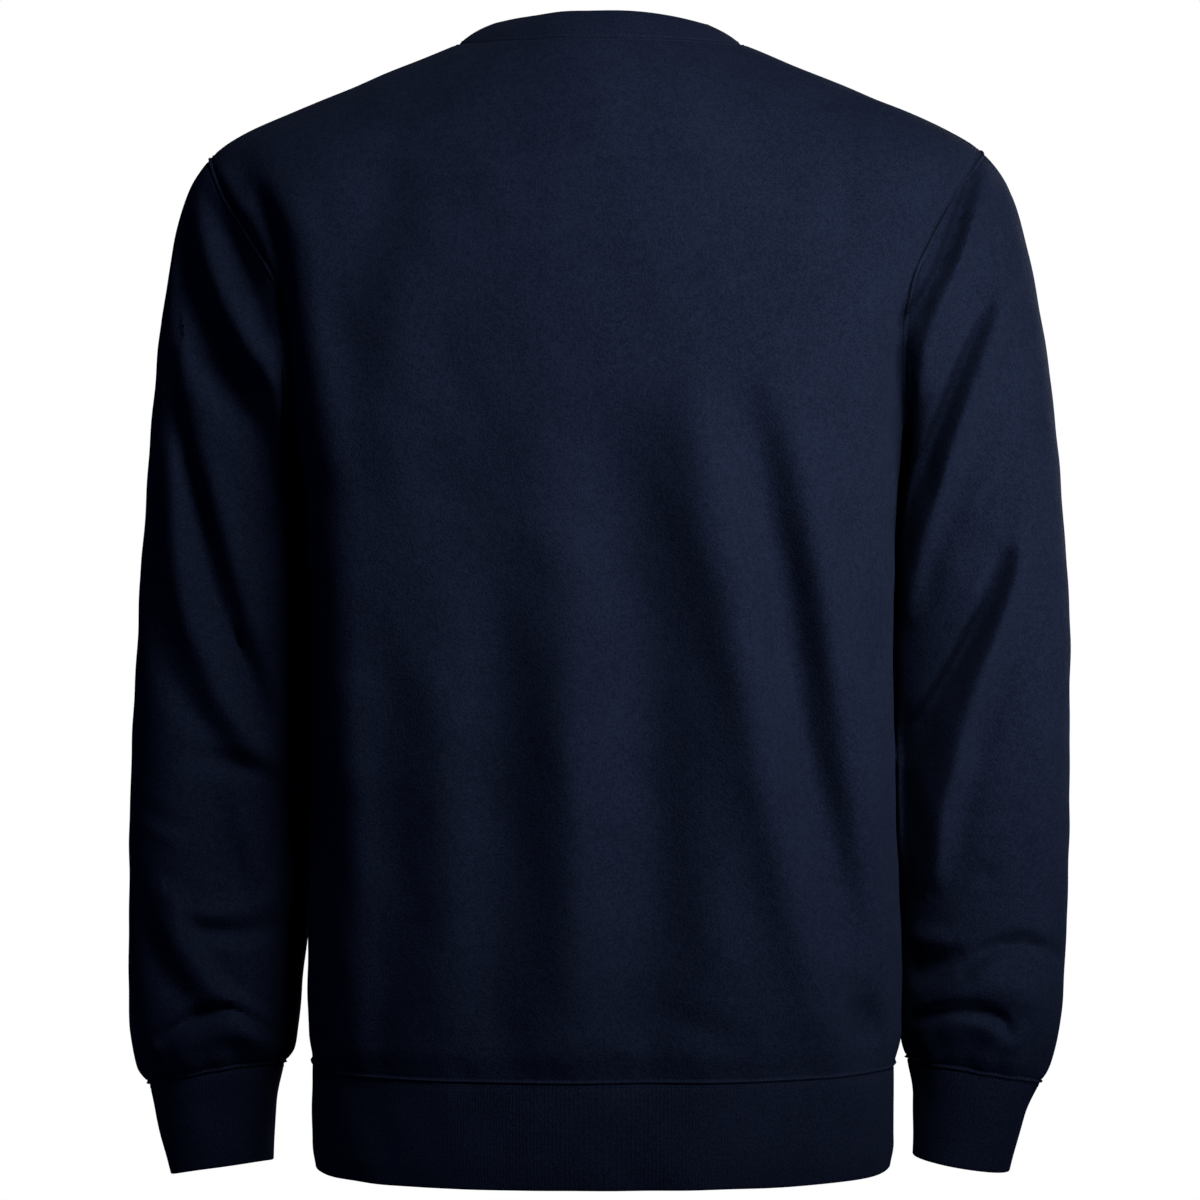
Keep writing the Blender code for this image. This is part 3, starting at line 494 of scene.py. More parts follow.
# -------------------------------------------------------------------- seams
@dataclass(frozen=True)
class SeamProfile:
    """Relief of the cloth beside a seam, by its distance d from it.

    A groove at the seam and a dip under the needle line, each a bell curve
    exp(-(d / width)^2), a ridge s exp(1 - s) with s = (d / place)^2 over the
    seam's folded edge, and puckers that swell as (d / reach) exp(1 - d / reach)
    and wave along the seam.
    """

    groove: float = 0.0005
    groove_width: float = 0.0008
    ridge: float = 0.0
    ridge_at: float = 0.0010
    needle_at: Optional[float] = None
    needle: float = 0.0003
    needle_width: float = 0.0005
    pucker: float = 0.0
    pucker_reach: float = 0.010
    pucker_waves: tuple[int, ...] = (23, 37, 53)

    WAVE_SHIFT = 0.37
    WAVE_DECAY = 0.4

    def relief(self, distance: Array, share: Array) -> Array:
        """Move along the normal.

        Args:
            distance: distance from the seam, in metres.
            share: run along the seam, from 0 to 1.

        Returns:
            Moves in metres.
        """
        move = -self.groove * np.exp(-(distance / self.groove_width) ** 2)
        place = (distance / self.ridge_at) ** 2
        move += self.ridge * place * np.exp(1.0 - place)
        if self.needle_at is not None:
            dip = (distance - self.needle_at) / self.needle_width
            move -= self.needle * np.exp(-dip ** 2)
        if self.pucker:
            swell = distance / self.pucker_reach * np.exp(1.0 - distance / self.pucker_reach)
            wave = sum(
                np.cos(2.0 * math.pi * (count * share + self.WAVE_SHIFT * number))
                / (1.0 + self.WAVE_DECAY * number)
                for number, count in enumerate(self.pucker_waves)
            )
            move += self.pucker * swell * wave
        return move


@dataclass(frozen=True)
class Seam:
    """A seam: the piece and the edge that its line is read from, and its profiles."""

    owner: str
    edge: tuple
    sides: dict[str, SeamProfile]
    reach: float = 0.045

    def relief(self, piece: str, points: Array, line: Array) -> Array:
        """Relief of one piece beside this seam.

        Args:
            piece: name of the piece.
            points: its grid of points.
            line: the seam's line.

        Returns:
            Moves along the normals, in the grid's shape.
        """
        flat = points.reshape(-1, 3)
        near = np.all((flat > line.min(0) - self.reach) & (flat < line.max(0) + self.reach), axis=1)
        moves = np.zeros(len(flat))
        if near.any():
            distance, run, _ = nearest_on_line(flat[near], line)
            whole = np.linalg.norm(np.diff(line, axis=0), axis=1).sum()
            moves[near] = self.sides[piece].relief(distance, run / whole)
        return moves.reshape(points.shape[:-1])


FLEECE_AT_BAND = SeamProfile(
    groove=0.0003, ridge=0.0013, needle_at=0.0025, needle=0.0005, pucker=0.0003
)
RIB_AT_BAND = SeamProfile(groove=0.0006, needle_at=0.0028, needle=0.0004, pucker=0.0001)
FLEECE_AT_CUFF = SeamProfile(
    groove=0.0003, ridge=0.0013, needle_at=0.0025, needle=0.0005, pucker=0.0008,
    pucker_waves=(7, 11, 17),
)
RIB_AT_CUFF = SeamProfile(needle_at=0.0028, pucker=0.0001, pucker_waves=(7, 11, 17))
BODY_AT_ARMHOLE = SeamProfile(
    groove=0.0002, needle_at=0.0032, needle=0.0005, pucker=0.00015, pucker_waves=(17, 29, 41)
)
ARM_AT_ARMHOLE = SeamProfile(
    groove=0.0002, ridge=0.0012, needle_at=0.0026, needle=0.0005, pucker=0.00015,
    pucker_waves=(17, 29, 41),
)
FLEECE_AT_NECK = SeamProfile(needle_at=0.0023, pucker=0.00015, pucker_waves=(19, 31, 43))
RIB_AT_NECK = SeamProfile(needle_at=0.0023, needle=0.0002)
PLAIN_SEAM = SeamProfile(groove=0.0003, groove_width=0.0010)


# --------------------------------------------------------------------- body
@dataclass(frozen=True)
class TorsoRow:
    """A level section: half-widths, depth of the side seam, and stand-offs."""

    z: float
    left: float
    right: float
    side_y: float
    back: float
    front: float


@dataclass(frozen=True)
class ArmholeRow:
    """Distance of the armhole seams from the middle, at one height."""

    z: float
    back_left: float
    back_right: float
    front_left: float
    front_right: float


@dataclass
class Body:
    """Front, back, waistband and collar of the worn garment."""

    band_top_z: float = -0.632
    hem_z: float = -0.695
    armpit_z: float = -0.245
    neck_half_width: float = 0.088
    neck_drop_back: float = 0.006
    neck_drop_front: float = 0.078
    neck_roundness: float = 2.3
    neck_samples: int = 960
    ridge_top: float = 0.0417
    ridge_slope: float = 0.4225
    ridge_blend: float = 0.030
    ridge_tip_start: float = 0.200
    ridge_tip_drop: float = 80.0
    round_back: float = 0.160
    round_front: float = 0.270
    round_tip: float = 0.060
    round_from: float = 0.090
    round_to: float = 0.240
    section_power: float = 2.5
    tip_left: float = 0.243
    tip_right: float = 0.237
    neck_part: float = 8.0 / 15.0     # share of the columns that end at the neck
    column_fan: float = 2.5
    armpit_part: float = 0.64
    edge_power: float = 6.0
    edge_power_top: float = 60.0      # what it gains towards the shoulder
    edge_power_fan: float = 8.0
    collar_width: float = 0.025
    collar_bulge: float = 0.0012
    collar_lean: float = 50.0
    collar_lean_less: float = 18.0
    collar_narrowing: float = 0.80
    collar_spacing: float = 0.0014
    half_girth: float = 0.262         # column length from a side seam to the middle
    spacing: float = 0.0036
    armhole_rows: int = 84
    torso: tuple[TorsoRow, ...] = (
        TorsoRow(-0.695, 0.1765, 0.1800, 0.006, 0.117, 0.116),
        TorsoRow(-0.680, 0.1785, 0.1825, 0.006, 0.119, 0.118),
        TorsoRow(-0.632, 0.1785, 0.1825, 0.006, 0.121, 0.121),
        TorsoRow(-0.612, 0.1810, 0.1865, 0.006, 0.126, 0.127),
        TorsoRow(-0.585, 0.1815, 0.1875, 0.006, 0.126, 0.128),
        TorsoRow(-0.520, 0.1805, 0.1855, 0.007, 0.121, 0.126),
        TorsoRow(-0.430, 0.1790, 0.1825, 0.008, 0.115, 0.124),
        TorsoRow(-0.350, 0.1790, 0.1820, 0.008, 0.115, 0.126),
        TorsoRow(-0.290, 0.1825, 0.1840, 0.006, 0.119, 0.129),
        TorsoRow(-0.245, 0.1890, 0.1880, 0.004, 0.124, 0.129),
        TorsoRow(-0.200, 0.1970, 0.1950, 0.002, 0.127, 0.127),
        TorsoRow(-0.160, 0.2080, 0.2060, 0.000, 0.129, 0.123),
        TorsoRow(-0.130, 0.2200, 0.2170, -0.002, 0.129, 0.119),
        TorsoRow(-0.100, 0.2360, 0.2320, -0.004, 0.128, 0.115),
        TorsoRow(-0.060, 0.2520, 0.2500, -0.006, 0.127, 0.111),
        TorsoRow(0.000, 0.2600, 0.2600, -0.007, 0.126, 0.108),
        TorsoRow(0.040, 0.2620, 0.2620, -0.007, 0.126, 0.108),
    )
    armhole: tuple[ArmholeRow, ...] = (
        ArmholeRow(-0.245, 0.1890, 0.1880, 0.1890, 0.1880),
        ArmholeRow(-0.215, 0.1885, 0.1865, 0.1870, 0.1860),
        ArmholeRow(-0.180, 0.1895, 0.1850, 0.1850, 0.1835),
        ArmholeRow(-0.150, 0.1975, 0.1895, 0.1870, 0.1850),
        ArmholeRow(-0.125, 0.2120, 0.2010, 0.1960, 0.1930),
        ArmholeRow(-0.095, 0.2310, 0.2180, 0.2160, 0.2110),
        ArmholeRow(-0.068, 0.2430, 0.2370, 0.2430, 0.2370),
    )

    def ridge_height(self, x: Array) -> Array:
        """Height of the shoulder line: a blunt gable that drops away at its tips."""
        past = np.maximum(np.abs(x) - self.ridge_tip_start, 0.0)
        line = self.ridge_top - self.ridge_slope * np.sqrt(x * x + self.ridge_blend ** 2)
        return line - self.ridge_tip_drop * past ** 3

    def half_width(self, sign: Array, z: Array) -> Array:
        """Half-width at height z, on the side that the sign tells."""
        left = smooth_curve(self.torso, "z", "left", z)
        right = smooth_curve(self.torso, "z", "right", z)
        return np.where(sign >= 0.0, left, right)

    def section(self, share: Array) -> Array:
        """Superellipse: (1 - share^p)^(1/p)."""
        return (1.0 - share ** self.section_power) ** (1.0 / self.section_power)

    def points(self, x: Array, z: Array, back: bool) -> Array:
        """Points of the skin over the places (x, z).

        The stand-off is the table's, times a superellipse across the section,
        times a quarter circle that rounds it off to the shoulder line.

        Args:
            x: places across, as seen from behind.
            z: heights.
            back: whether the points lie on the back.

        Returns:
            The points, (..., 3).
        """
        side_y = smooth_curve(self.torso, "z", "side_y", z)
        across = np.clip(np.abs(x) / self.half_width(x, z), 0.0, 1.0)
        to_tip = smoothstep((np.abs(x) - self.round_from) / (self.round_to - self.round_from))
        middle_round = self.round_back if back else self.round_front
        rounding = middle_round + (self.round_tip - middle_round) * to_tip
        below = np.clip((self.ridge_height(x) - z) / rounding, 0.0, 1.0)
        stand_off = smooth_curve(self.torso, "z", "back" if back else "front", z)
        away = stand_off * self.section(across) * np.sqrt(1.0 - (1.0 - below) ** 2)
        return np.stack([x, side_y + np.where(back, away, -away), z], axis=-1)

    def neckline(self, share: Array, back: bool) -> tuple[Array, Array]:
        """Neckline seen from behind: a superellipse that hangs from the shoulder line.

        Args:
            share: shares of its length, from the middle out.
            back: whether it is the back's neckline.

        Returns:
            x and z of the places.
        """
        angle = np.linspace(0.5 * math.pi, 0.0, self.neck_samples)
        power = 2.0 / self.neck_roundness
        x = self.neck_half_width * np.cos(angle) ** power
        x[0] = 0.0
        drop = self.neck_drop_back if back else self.neck_drop_front
        z = self.ridge_height(np.array(self.neck_half_width)) - drop * np.sin(angle) ** power
        steps = np.linalg.norm(np.diff(self.points(x, z, back), axis=0), axis=1)
        run = np.concatenate([[0.0], np.cumsum(steps)]) / steps.sum()
        return np.interp(share, run, x), np.interp(share, run, z)

    def columns(self) -> Array:
        """Places across a panel, from 1 at the left side seam to -1 at the right."""
        fine = 1.0 - np.array(SEAM_STEPS) / self.half_girth
        shoulder = round((fine[-1] - self.neck_part) * self.half_girth / self.spacing)
        neck = round(self.neck_part * self.half_girth / self.spacing)
        half = np.concatenate([
            fine,
            np.linspace(fine[-1], self.neck_part, shoulder + 1)[1:],
            np.linspace(self.neck_part, 0.0, neck + 1)[1:],
        ])
        return np.concatenate([half, -half[-2::-1]])

    def rising(self) -> Array:
        """Places up an armhole, from 0 at the armpit to 1 at the shoulder tip."""
        return np.linspace(0.0, 1.0, self.armhole_rows + 1)

    def panel(self, back: bool) -> Array:
        """Skin of the back or front: rows from the waistband up, columns from left.

        The outer columns follow the side seams and armholes, and the top row
        follows a shoulder seam, the neckline and the other shoulder seam. Between
        them a row's height is inside_z (1 - e) + beside_z e, where e is the share
        of the way out raised to a power that grows towards the shoulder.

        Args:
            back: whether it is the back.

        Returns:
            The grid of points.
        """
        across = self.columns()
        side = np.abs(across)
        on_left = across >= 0.0
        tip = np.where(on_left, self.tip_left, self.tip_right)
        neck_x, neck_z = self.neckline(np.clip(side / self.neck_part, 0.0, 1.0), back)
        out = np.clip((side - self.neck_part) / (1.0 - self.neck_part), 0.0, 1.0)
        top_reach = np.where(out > 0.0, self.neck_half_width + out * (tip - self.neck_half_width), neck_x)
        top_z = np.where(out > 0.0, self.ridge_height(top_reach), neck_z)

        lower = from_seams(self.armpit_z - self.band_top_z, self.spacing, False)
        rise = np.concatenate([np.zeros(len(lower)), self.rising()[1:]])
        below = np.concatenate([lower, np.ones(len(rise) - len(lower))])
        height = np.sin(0.5 * math.pi * rise)
        edge_x = np.empty((len(rise), 2))
        edge_z = np.empty((len(rise), 2))
        for number, (sign, word) in enumerate(((1.0, "left"), (-1.0, "right"))):
            end = self.tip_left if sign > 0.0 else self.tip_right
            tip_z = self.ridge_height(np.array(end))
            low = self.band_top_z + below * (self.armpit_z - self.band_top_z)
            high = self.armpit_z + (tip_z - self.armpit_z) * height ** 2
            edge_z[:, number] = np.where(rise > 0.0, high, low)
            name = ("back_" if back else "front_") + word
            seam = smooth_curve(self.armhole, "z", name, edge_z[:, number])
            seam[-1] = end
            edge_x[:, number] = np.where(
                rise > 0.0, seam, self.half_width(np.array(sign), edge_z[:, number])
            )

        reach = np.where(on_left, edge_x[:, :1], edge_x[:, 1:])
        beside_z = np.where(on_left, edge_z[:, :1], edge_z[:, 1:])
        share = np.clip(reach / self.half_width(across, beside_z), 0.0, 1.0)
        edge_angle = np.arcsin(share ** (0.5 * self.section_power))
        turned = np.sin(edge_angle * side) / np.sin(edge_angle)
        low_share = turned ** (2.0 / self.section_power)
        to_top = rise[:, None] ** self.column_fan
        x = np.sign(across) * reach * (low_share * (1.0 - to_top) + top_reach / tip * to_top)
        x[:, 0] = edge_x[:, 0]
        x[:, -1] = -edge_x[:, 1]

        fan = self.armpit_part + (1.0 - self.armpit_part) * height
        inside = np.where(rise > 0.0, fan, below * self.armpit_part)[:, None]
        under_ridge = top_z - self.ridge_height(top_reach)
        inside_z = self.band_top_z + inside * (self.ridge_height(x) + under_ridge - self.band_top_z)
        at_edge = side ** (self.edge_power + self.edge_power_top * rise[:, None] ** self.edge_power_fan)
        z = inside_z * (1.0 - at_edge) + beside_z * at_edge
        z[-1] = top_z
        return self.points(x, z, back)

    def waistband(self, ring: Array) -> Array:
        """Skin of the waistband, from the seam down: sections of the torso table.

        Args:
            ring: the seam's closed line.

        Returns:
            The grid of points.
        """
        down = from_seams(self.band_top_z - self.hem_z, RIB_SPACING, False)[:, None]
        z = np.broadcast_to(
            self.band_top_z + (self.hem_z - self.band_top_z) * down, (len(down), len(ring))
        )
        sign = np.where(ring[:, 0] >= 0.0, 1.0, -1.0)
        share = ring[:, 0] / self.half_width(sign, np.full(len(ring), self.band_top_z))
        x = share * self.half_width(sign, z)
        is_back = ring[:, 1] >= smooth_curve(self.torso, "z", "side_y", self.band_top_z)
        skin = np.where(is_back[:, None], self.points(x, z, True), self.points(x, z, False))
        skin[0] = ring
        return skin

    def collar(self, ring: Array) -> Array:
        """Skin of the collar: it leans in and up from the neck seam, with a bulge.

        The lean is steeper at the back and front than on the shoulders.

        Args:
            ring: the neck seam's closed line.

        Returns:
            The grid of points.
        """
        middle = np.array([0.0, 0.5 * (ring[:, 1].max() + ring[:, 1].min()), 0.0])
        inward = middle - ring
        inward[:, 2] = 0.0
        inward[:, 0] *= self.collar_narrowing
        inward = unit(inward)
        sideways = np.clip(np.abs(ring[:, 0]) / self.neck_half_width, 0.0, 1.0) ** 2
        lean = np.radians(self.collar_lean - self.collar_lean_less * sideways)[:, None]
        along = inward * np.cos(lean)
        along[:, 2] = np.sin(lean[:, 0])
        outward = -inward * np.sin(lean)
        outward[:, 2] = np.cos(lean[:, 0])
        up = from_seams(self.collar_width, self.collar_spacing, False)[:, None, None]
        bulge = self.collar_bulge * np.sin(math.pi * up)
        return ring + along * self.collar_width * up + outward * bulge

    def beside(self, side: float, points: Array) -> Array:
        """Distance from the middle of the body's skin beside points of a sleeve.

        Args:
            side: 1 for the left and -1 for the right.
            points: the sleeve's points.

        Returns:
            The lesser of the body's and the armhole's distance, at each point.
        """
        z = points[..., 2]
        off = points[..., 1] - smooth_curve(self.torso, "z", "side_y", z)
        behind = off >= 0.0
        stand_off = np.where(
            behind,
            smooth_curve(self.torso, "z", "back", z),
            smooth_curve(self.torso, "z", "front", z),
        )
        body = self.half_width(np.array(side), z)
        body = body * self.section(np.clip(np.abs(off) / stand_off, 0.0, 1.0))
        word = "left" if side > 0.0 else "right"
        seam = np.where(
            behind,
            smooth_curve(self.armhole, "z", "back_" + word, z),
            smooth_curve(self.armhole, "z", "front_" + word, z),
        )
        return np.minimum(body, seam)


# --------------------------------------------------------------------- arms
@dataclass(frozen=True)
class ArmRow:
    """A section of a sleeve or cuff, by its outer and inner point seen from behind."""

    at: float
    outer_x: float
    outer_z: float
    inner_x: float
    inner_z: float
    mid_y: float
    depth: float
    lift: float


@dataclass
class Arm:
    """A set-in sleeve and its cuff."""

    word: str
    side: float
    part: Part
    flat_area: float
    sleeve_rows: tuple[ArmRow, ...]
    cuff_rows: tuple[ArmRow, ...]
    section_power: float = 2.2
    clear: float = 0.0022
    press: float = 0.0050
    press_from: float = 0.03
    armhole_reach: float = 0.34
    length: float = 0.48
    cuff_length: float = 0.0590
    spacing: float = 0.0030

    def section(self, rows: tuple[ArmRow, ...], at: Array, turn: Array) -> Array:
        """Rings of the arm, from the inner point round the back and front.

        Each ring is a superellipse between its outer and inner point.

        Args:
            rows: the table of sections.
            at: places along the arm, as in the table.
            turn: angles round it, from the inner point.

        Returns:
            The grid of points.
        """
        power = 2.0 / self.section_power
        over = np.sign(np.cos(turn)) * np.abs(np.cos(turn)) ** power
        round_y = np.sign(np.sin(turn)) * np.abs(np.sin(turn)) ** power
        names = ("outer_x", "outer_z", "inner_x", "inner_z", "mid_y", "depth", "lift")
        outer_x, outer_z, inner_x, inner_z, mid_y, depth, lift = (
            smooth_curve(rows, "at", name, at)[:, None] for name in names
        )
        x = 0.5 * (outer_x + inner_x) - 0.5 * over * (outer_x - inner_x)
        z = 0.5 * (outer_z + inner_z) - 0.5 * over * (outer_z - inner_z) + round_y * lift
        return np.stack([self.side * x, mid_y + round_y * depth, z], axis=-1)

    def sleeve(self, body: Body, loop: Array, turn: Array) -> Array:
        """Skin of the sleeve: the armhole's own loop melts into the arm's rings.

        Beside the body its distance from the middle is a rounded maximum of its
        own and the body's, so it flattens softly and stays clear.

        Args:
            body: the garment's body.
            loop: the armhole's closed line.
            turn: angles round the arm, one for each of its points.

        Returns:
            The grid of points, from the armhole down.
        """
        at = from_seams(self.length, self.spacing, True)
        tube = self.section(self.sleeve_rows, at, turn)
        left_armhole = (1.0 - smoothstep(at / self.armhole_reach))[:, None, None]
        points = tube + (loop - tube[0]) * left_armhole
        beyond = self.side * points[..., 0] - body.beside(self.side, points) - self.clear
        pressed = 0.5 * (np.sqrt(beyond * beyond + self.press ** 2) - beyond)
        points[..., 0] += self.side * pressed * smoothstep(at / self.press_from)[:, None]
        return points

    def cuff(self, ring: Array, turn: Array) -> Array:
        """Skin of the cuff, from its seam down to the wrist."""
        at = from_seams(self.cuff_length, RIB_SPACING, False)
        skin = self.section(self.cuff_rows, at, turn)
        skin[0] = ring
        return skin


LEFT_ARM = Arm(
    "left",
    1.0,
    Part.LEFT_ARM,
    0.190,
    (
        ArmRow(0.00, 0.2430, -0.0680, 0.1890, -0.2450, 0.000, 0.056, 0.000),
        ArmRow(0.06, 0.2560, -0.0865, 0.1900, -0.2560, -0.002, 0.061, 0.000),
        ArmRow(0.13, 0.2655, -0.1160, 0.1885, -0.2700, -0.006, 0.066, 0.000),
        ArmRow(0.21, 0.2735, -0.1620, 0.1838, -0.2880, -0.012, 0.069, 0.000),
        ArmRow(0.30, 0.2805, -0.2220, 0.1815, -0.3130, -0.018, 0.070, 0.000),
        ArmRow(0.40, 0.2865, -0.2950, 0.1780, -0.3490, -0.023, 0.069, 0.000),
        ArmRow(0.52, 0.2920, -0.3760, 0.1765, -0.3990, -0.027, 0.067, 0.000),
        ArmRow(0.66, 0.2965, -0.4720, 0.1775, -0.4740, -0.030, 0.065, 0.000),
        ArmRow(0.80, 0.2975, -0.5620, 0.1840, -0.5520, -0.030, 0.063, 0.003),
        ArmRow(0.90, 0.2965, -0.6130, 0.1895, -0.6030, -0.029, 0.060, 0.005),
        ArmRow(0.96, 0.2920, -0.6400, 0.1930, -0.6270, -0.028, 0.053, 0.006),
        ArmRow(1.00, 0.2845, -0.6510, 0.1995, -0.6370, -0.027, 0.042, 0.006),
    ),
    (
        ArmRow(0.00, 0.2845, -0.6510, 0.1995, -0.6370, -0.027, 0.042, 0.006),
        ArmRow(0.35, 0.2795, -0.6730, 0.2040, -0.6610, -0.026, 0.037, 0.005),
        ArmRow(1.00, 0.2705, -0.7065, 0.2065, -0.6975, -0.025, 0.033, 0.004),
    ),
)
RIGHT_ARM = Arm(
    "right",
    -1.0,
    Part.RIGHT_ARM,
    0.194,
    (
        ArmRow(0.00, 0.2370, -0.0633, 0.1880, -0.2450, 0.000, 0.056, 0.000),
        ArmRow(0.06, 0.2545, -0.0865, 0.1890, -0.2560, -0.002, 0.061, 0.000),
        ArmRow(0.13, 0.2650, -0.1160, 0.1878, -0.2700, -0.007, 0.066, 0.000),
        ArmRow(0.21, 0.2755, -0.1620, 0.1838, -0.2880, -0.014, 0.069, 0.000),
        ArmRow(0.30, 0.2850, -0.2220, 0.1810, -0.3130, -0.022, 0.070, 0.000),
        ArmRow(0.40, 0.2925, -0.2950, 0.1780, -0.3490, -0.030, 0.069, 0.000),
        ArmRow(0.52, 0.2975, -0.3760, 0.1770, -0.3990, -0.036, 0.067, 0.000),
        ArmRow(0.66, 0.2975, -0.4720, 0.1780, -0.4740, -0.040, 0.065, 0.000),
        ArmRow(0.80, 0.2955, -0.5620, 0.1880, -0.5520, -0.041, 0.062, 0.001),
        ArmRow(0.90, 0.2915, -0.6130, 0.1890, -0.6030, -0.040, 0.059, 0.003),
        ArmRow(0.96, 0.2845, -0.6390, 0.1915, -0.6240, -0.039, 0.052, 0.003),
        ArmRow(1.00, 0.2790, -0.6510, 0.1950, -0.6360, -0.038, 0.042, 0.003),
    ),
    (
        ArmRow(0.00, 0.2790, -0.6510, 0.1950, -0.6360, -0.038, 0.042, 0.003),
        ArmRow(0.35, 0.2690, -0.6720, 0.1990, -0.6600, -0.037, 0.037, 0.002),
        ArmRow(1.00, 0.2600, -0.7055, 0.1985, -0.6960, -0.036, 0.033, 0.000),
    ),
)


# ------------------------------------------------------------------- finish
class Value:
    """A number socket with the arithmetic that shader maths needs."""

    def __init__(self, kit: "NodeKit", socket: bpy.types.NodeSocket) -> None:
        """Wrap one output socket."""
        self.kit = kit
        self.socket = socket

    def __add__(self, other: Union["Value", float]) -> "Value":
        """Sum."""
        return self.kit.math("ADD", self, other)

    def __sub__(self, other: Union["Value", float]) -> "Value":
        """Difference."""
        return self.kit.math("SUBTRACT", self, other)

    def __rsub__(self, other: float) -> "Value":
        """Difference with a number first."""
        return self.kit.math("SUBTRACT", other, self)

    def __mul__(self, other: Union["Value", float]) -> "Value":
        """Product."""
        return self.kit.math("MULTIPLY", self, other)

    __radd__ = __add__
    __rmul__ = __mul__


class NodeKit:
    """Makes the nodes of one material."""

    def __init__(self, name: str) -> None:
        """Start a material that holds its Principled shader."""
        self.material = bpy.data.materials.new(name)
        self.material.use_nodes = True
        self.nodes = self.material.node_tree.nodes
        self.links = self.material.node_tree.links
        self.shader = self.nodes["Principled BSDF"]

    def put(self, socket: bpy.types.NodeSocket, value: object) -> None:
        """Link or set one input socket.

        Args:
            socket: the input.
            value: an output or wrapped value to link, or a plain value to set.
        """
        if isinstance(value, Value):
            value = value.socket
        if isinstance(value, bpy.types.NodeSocket):
            self.links.new(value, socket)
        else:
            socket.default_value = value

    def node(self, kind: str, settings: dict, inputs: dict) -> bpy.types.Node:
        """Add a node.

        Args:
            kind: the node's type name.
            settings: properties of the node, set first.
            inputs: values or links, by socket name or number.

        Returns:
            The node.
        """
        made = self.nodes.new(kind)
        for name, value in settings.items():
            setattr(made, name, value)
        for name, value in inputs.items():
            self.put(made.inputs[name], value)
        return made

    def math(self, operation: str, *operands: Union[Value, float]) -> Value:
        """Add a Math node and wrap its result."""
        made = self.node("ShaderNodeMath", {"operation": operation}, dict(enumerate(operands)))
        return Value(self, made.outputs[0])

    def noise(self, scale: float, detail: float, roughness: float = 0.5) -> Value:
        """Noise in Object coordinates, about 0.5.

        Args:
            scale: cells per metre.
            detail: number of finer layers.
            roughness: how strong those are.

        Returns:
            The wrapped noise.
        """
        where = self.node("ShaderNodeTexCoord", {}, {}).outputs["Object"]
        made = self.node(
            "ShaderNodeTexNoise",
            {"noise_dimensions": "3D"},
            {"Vector": where, "Scale": scale, "Detail": detail, "Roughness": roughness},
        )
        return Value(self, made.outputs[0])

    def knit(self) -> tuple[Value, Value]:
        """The cloth's own coordinates: wales across it and courses along it."""
        place = self.node("ShaderNodeUVMap", {"uv_map": "knit"}, {}).outputs["UV"]
        split = self.node("ShaderNodeSeparateXYZ", {}, {"Vector": place})
        return Value(self, split.outputs["X"]), Value(self, split.outputs["Y"])

    def wave(self, turns: Value) -> Value:
        """Cosine of whole turns, from -1 to 1."""
        return self.math("COSINE", turns * (2.0 * math.pi))

    def colour(self, share: Value, low: Sequence[float], high: Sequence[float]) -> None:
        """Base Color between two colours, by a share that is kept from 0 to 1."""
        mix = self.node("ShaderNodeMix", {"data_type": "RGBA", "clamp_factor": True}, {0: share})
        self.put(mix.inputs[6], (*low, 1.0))
        self.put(mix.inputs[7], (*high, 1.0))
        self.links.new(mix.outputs[2], self.shader.inputs["Base Color"])

    def bump(self, height: Value, strength: float, distance: float) -> None:
        """Bump on the shader's Normal."""
        made = self.node(
            "ShaderNodeBump", {}, {"Strength": strength, "Distance": distance, "Height": height}
        )
        self.links.new(made.outputs["Normal"], self.shader.inputs["Normal"])


@dataclass(frozen=True)
class Finish:
    """What the finishes share: navy colours, a matt sheen and a fine bump."""

    low: tuple[float, float, float]
    high: tuple[float, float, float]
    roughness: float = 0.95
    specular: float = 0.05
    sheen: float = 0.03
    sheen_roughness: float = 0.45
    sheen_tint: tuple[float, float, float] = (0.45, 0.55, 0.85)

    def kit(self, name: str) -> NodeKit:
        """Start the material, with what is the same all over set on its shader.

        Args:
            name: the material's name.

        Returns:
            The maker of its nodes.
        """
        kit = NodeKit(name)
        fixed = {
            "Metallic": 0.0,
            "Specular IOR Level": self.specular,
            "Sheen Weight": self.sheen,
            "Sheen Roughness": self.sheen_roughness,
            "Sheen Tint": (*self.sheen_tint, 1.0),
        }
        for socket, value in fixed.items():
            kit.shader.inputs[socket].default_value = value
        return kit


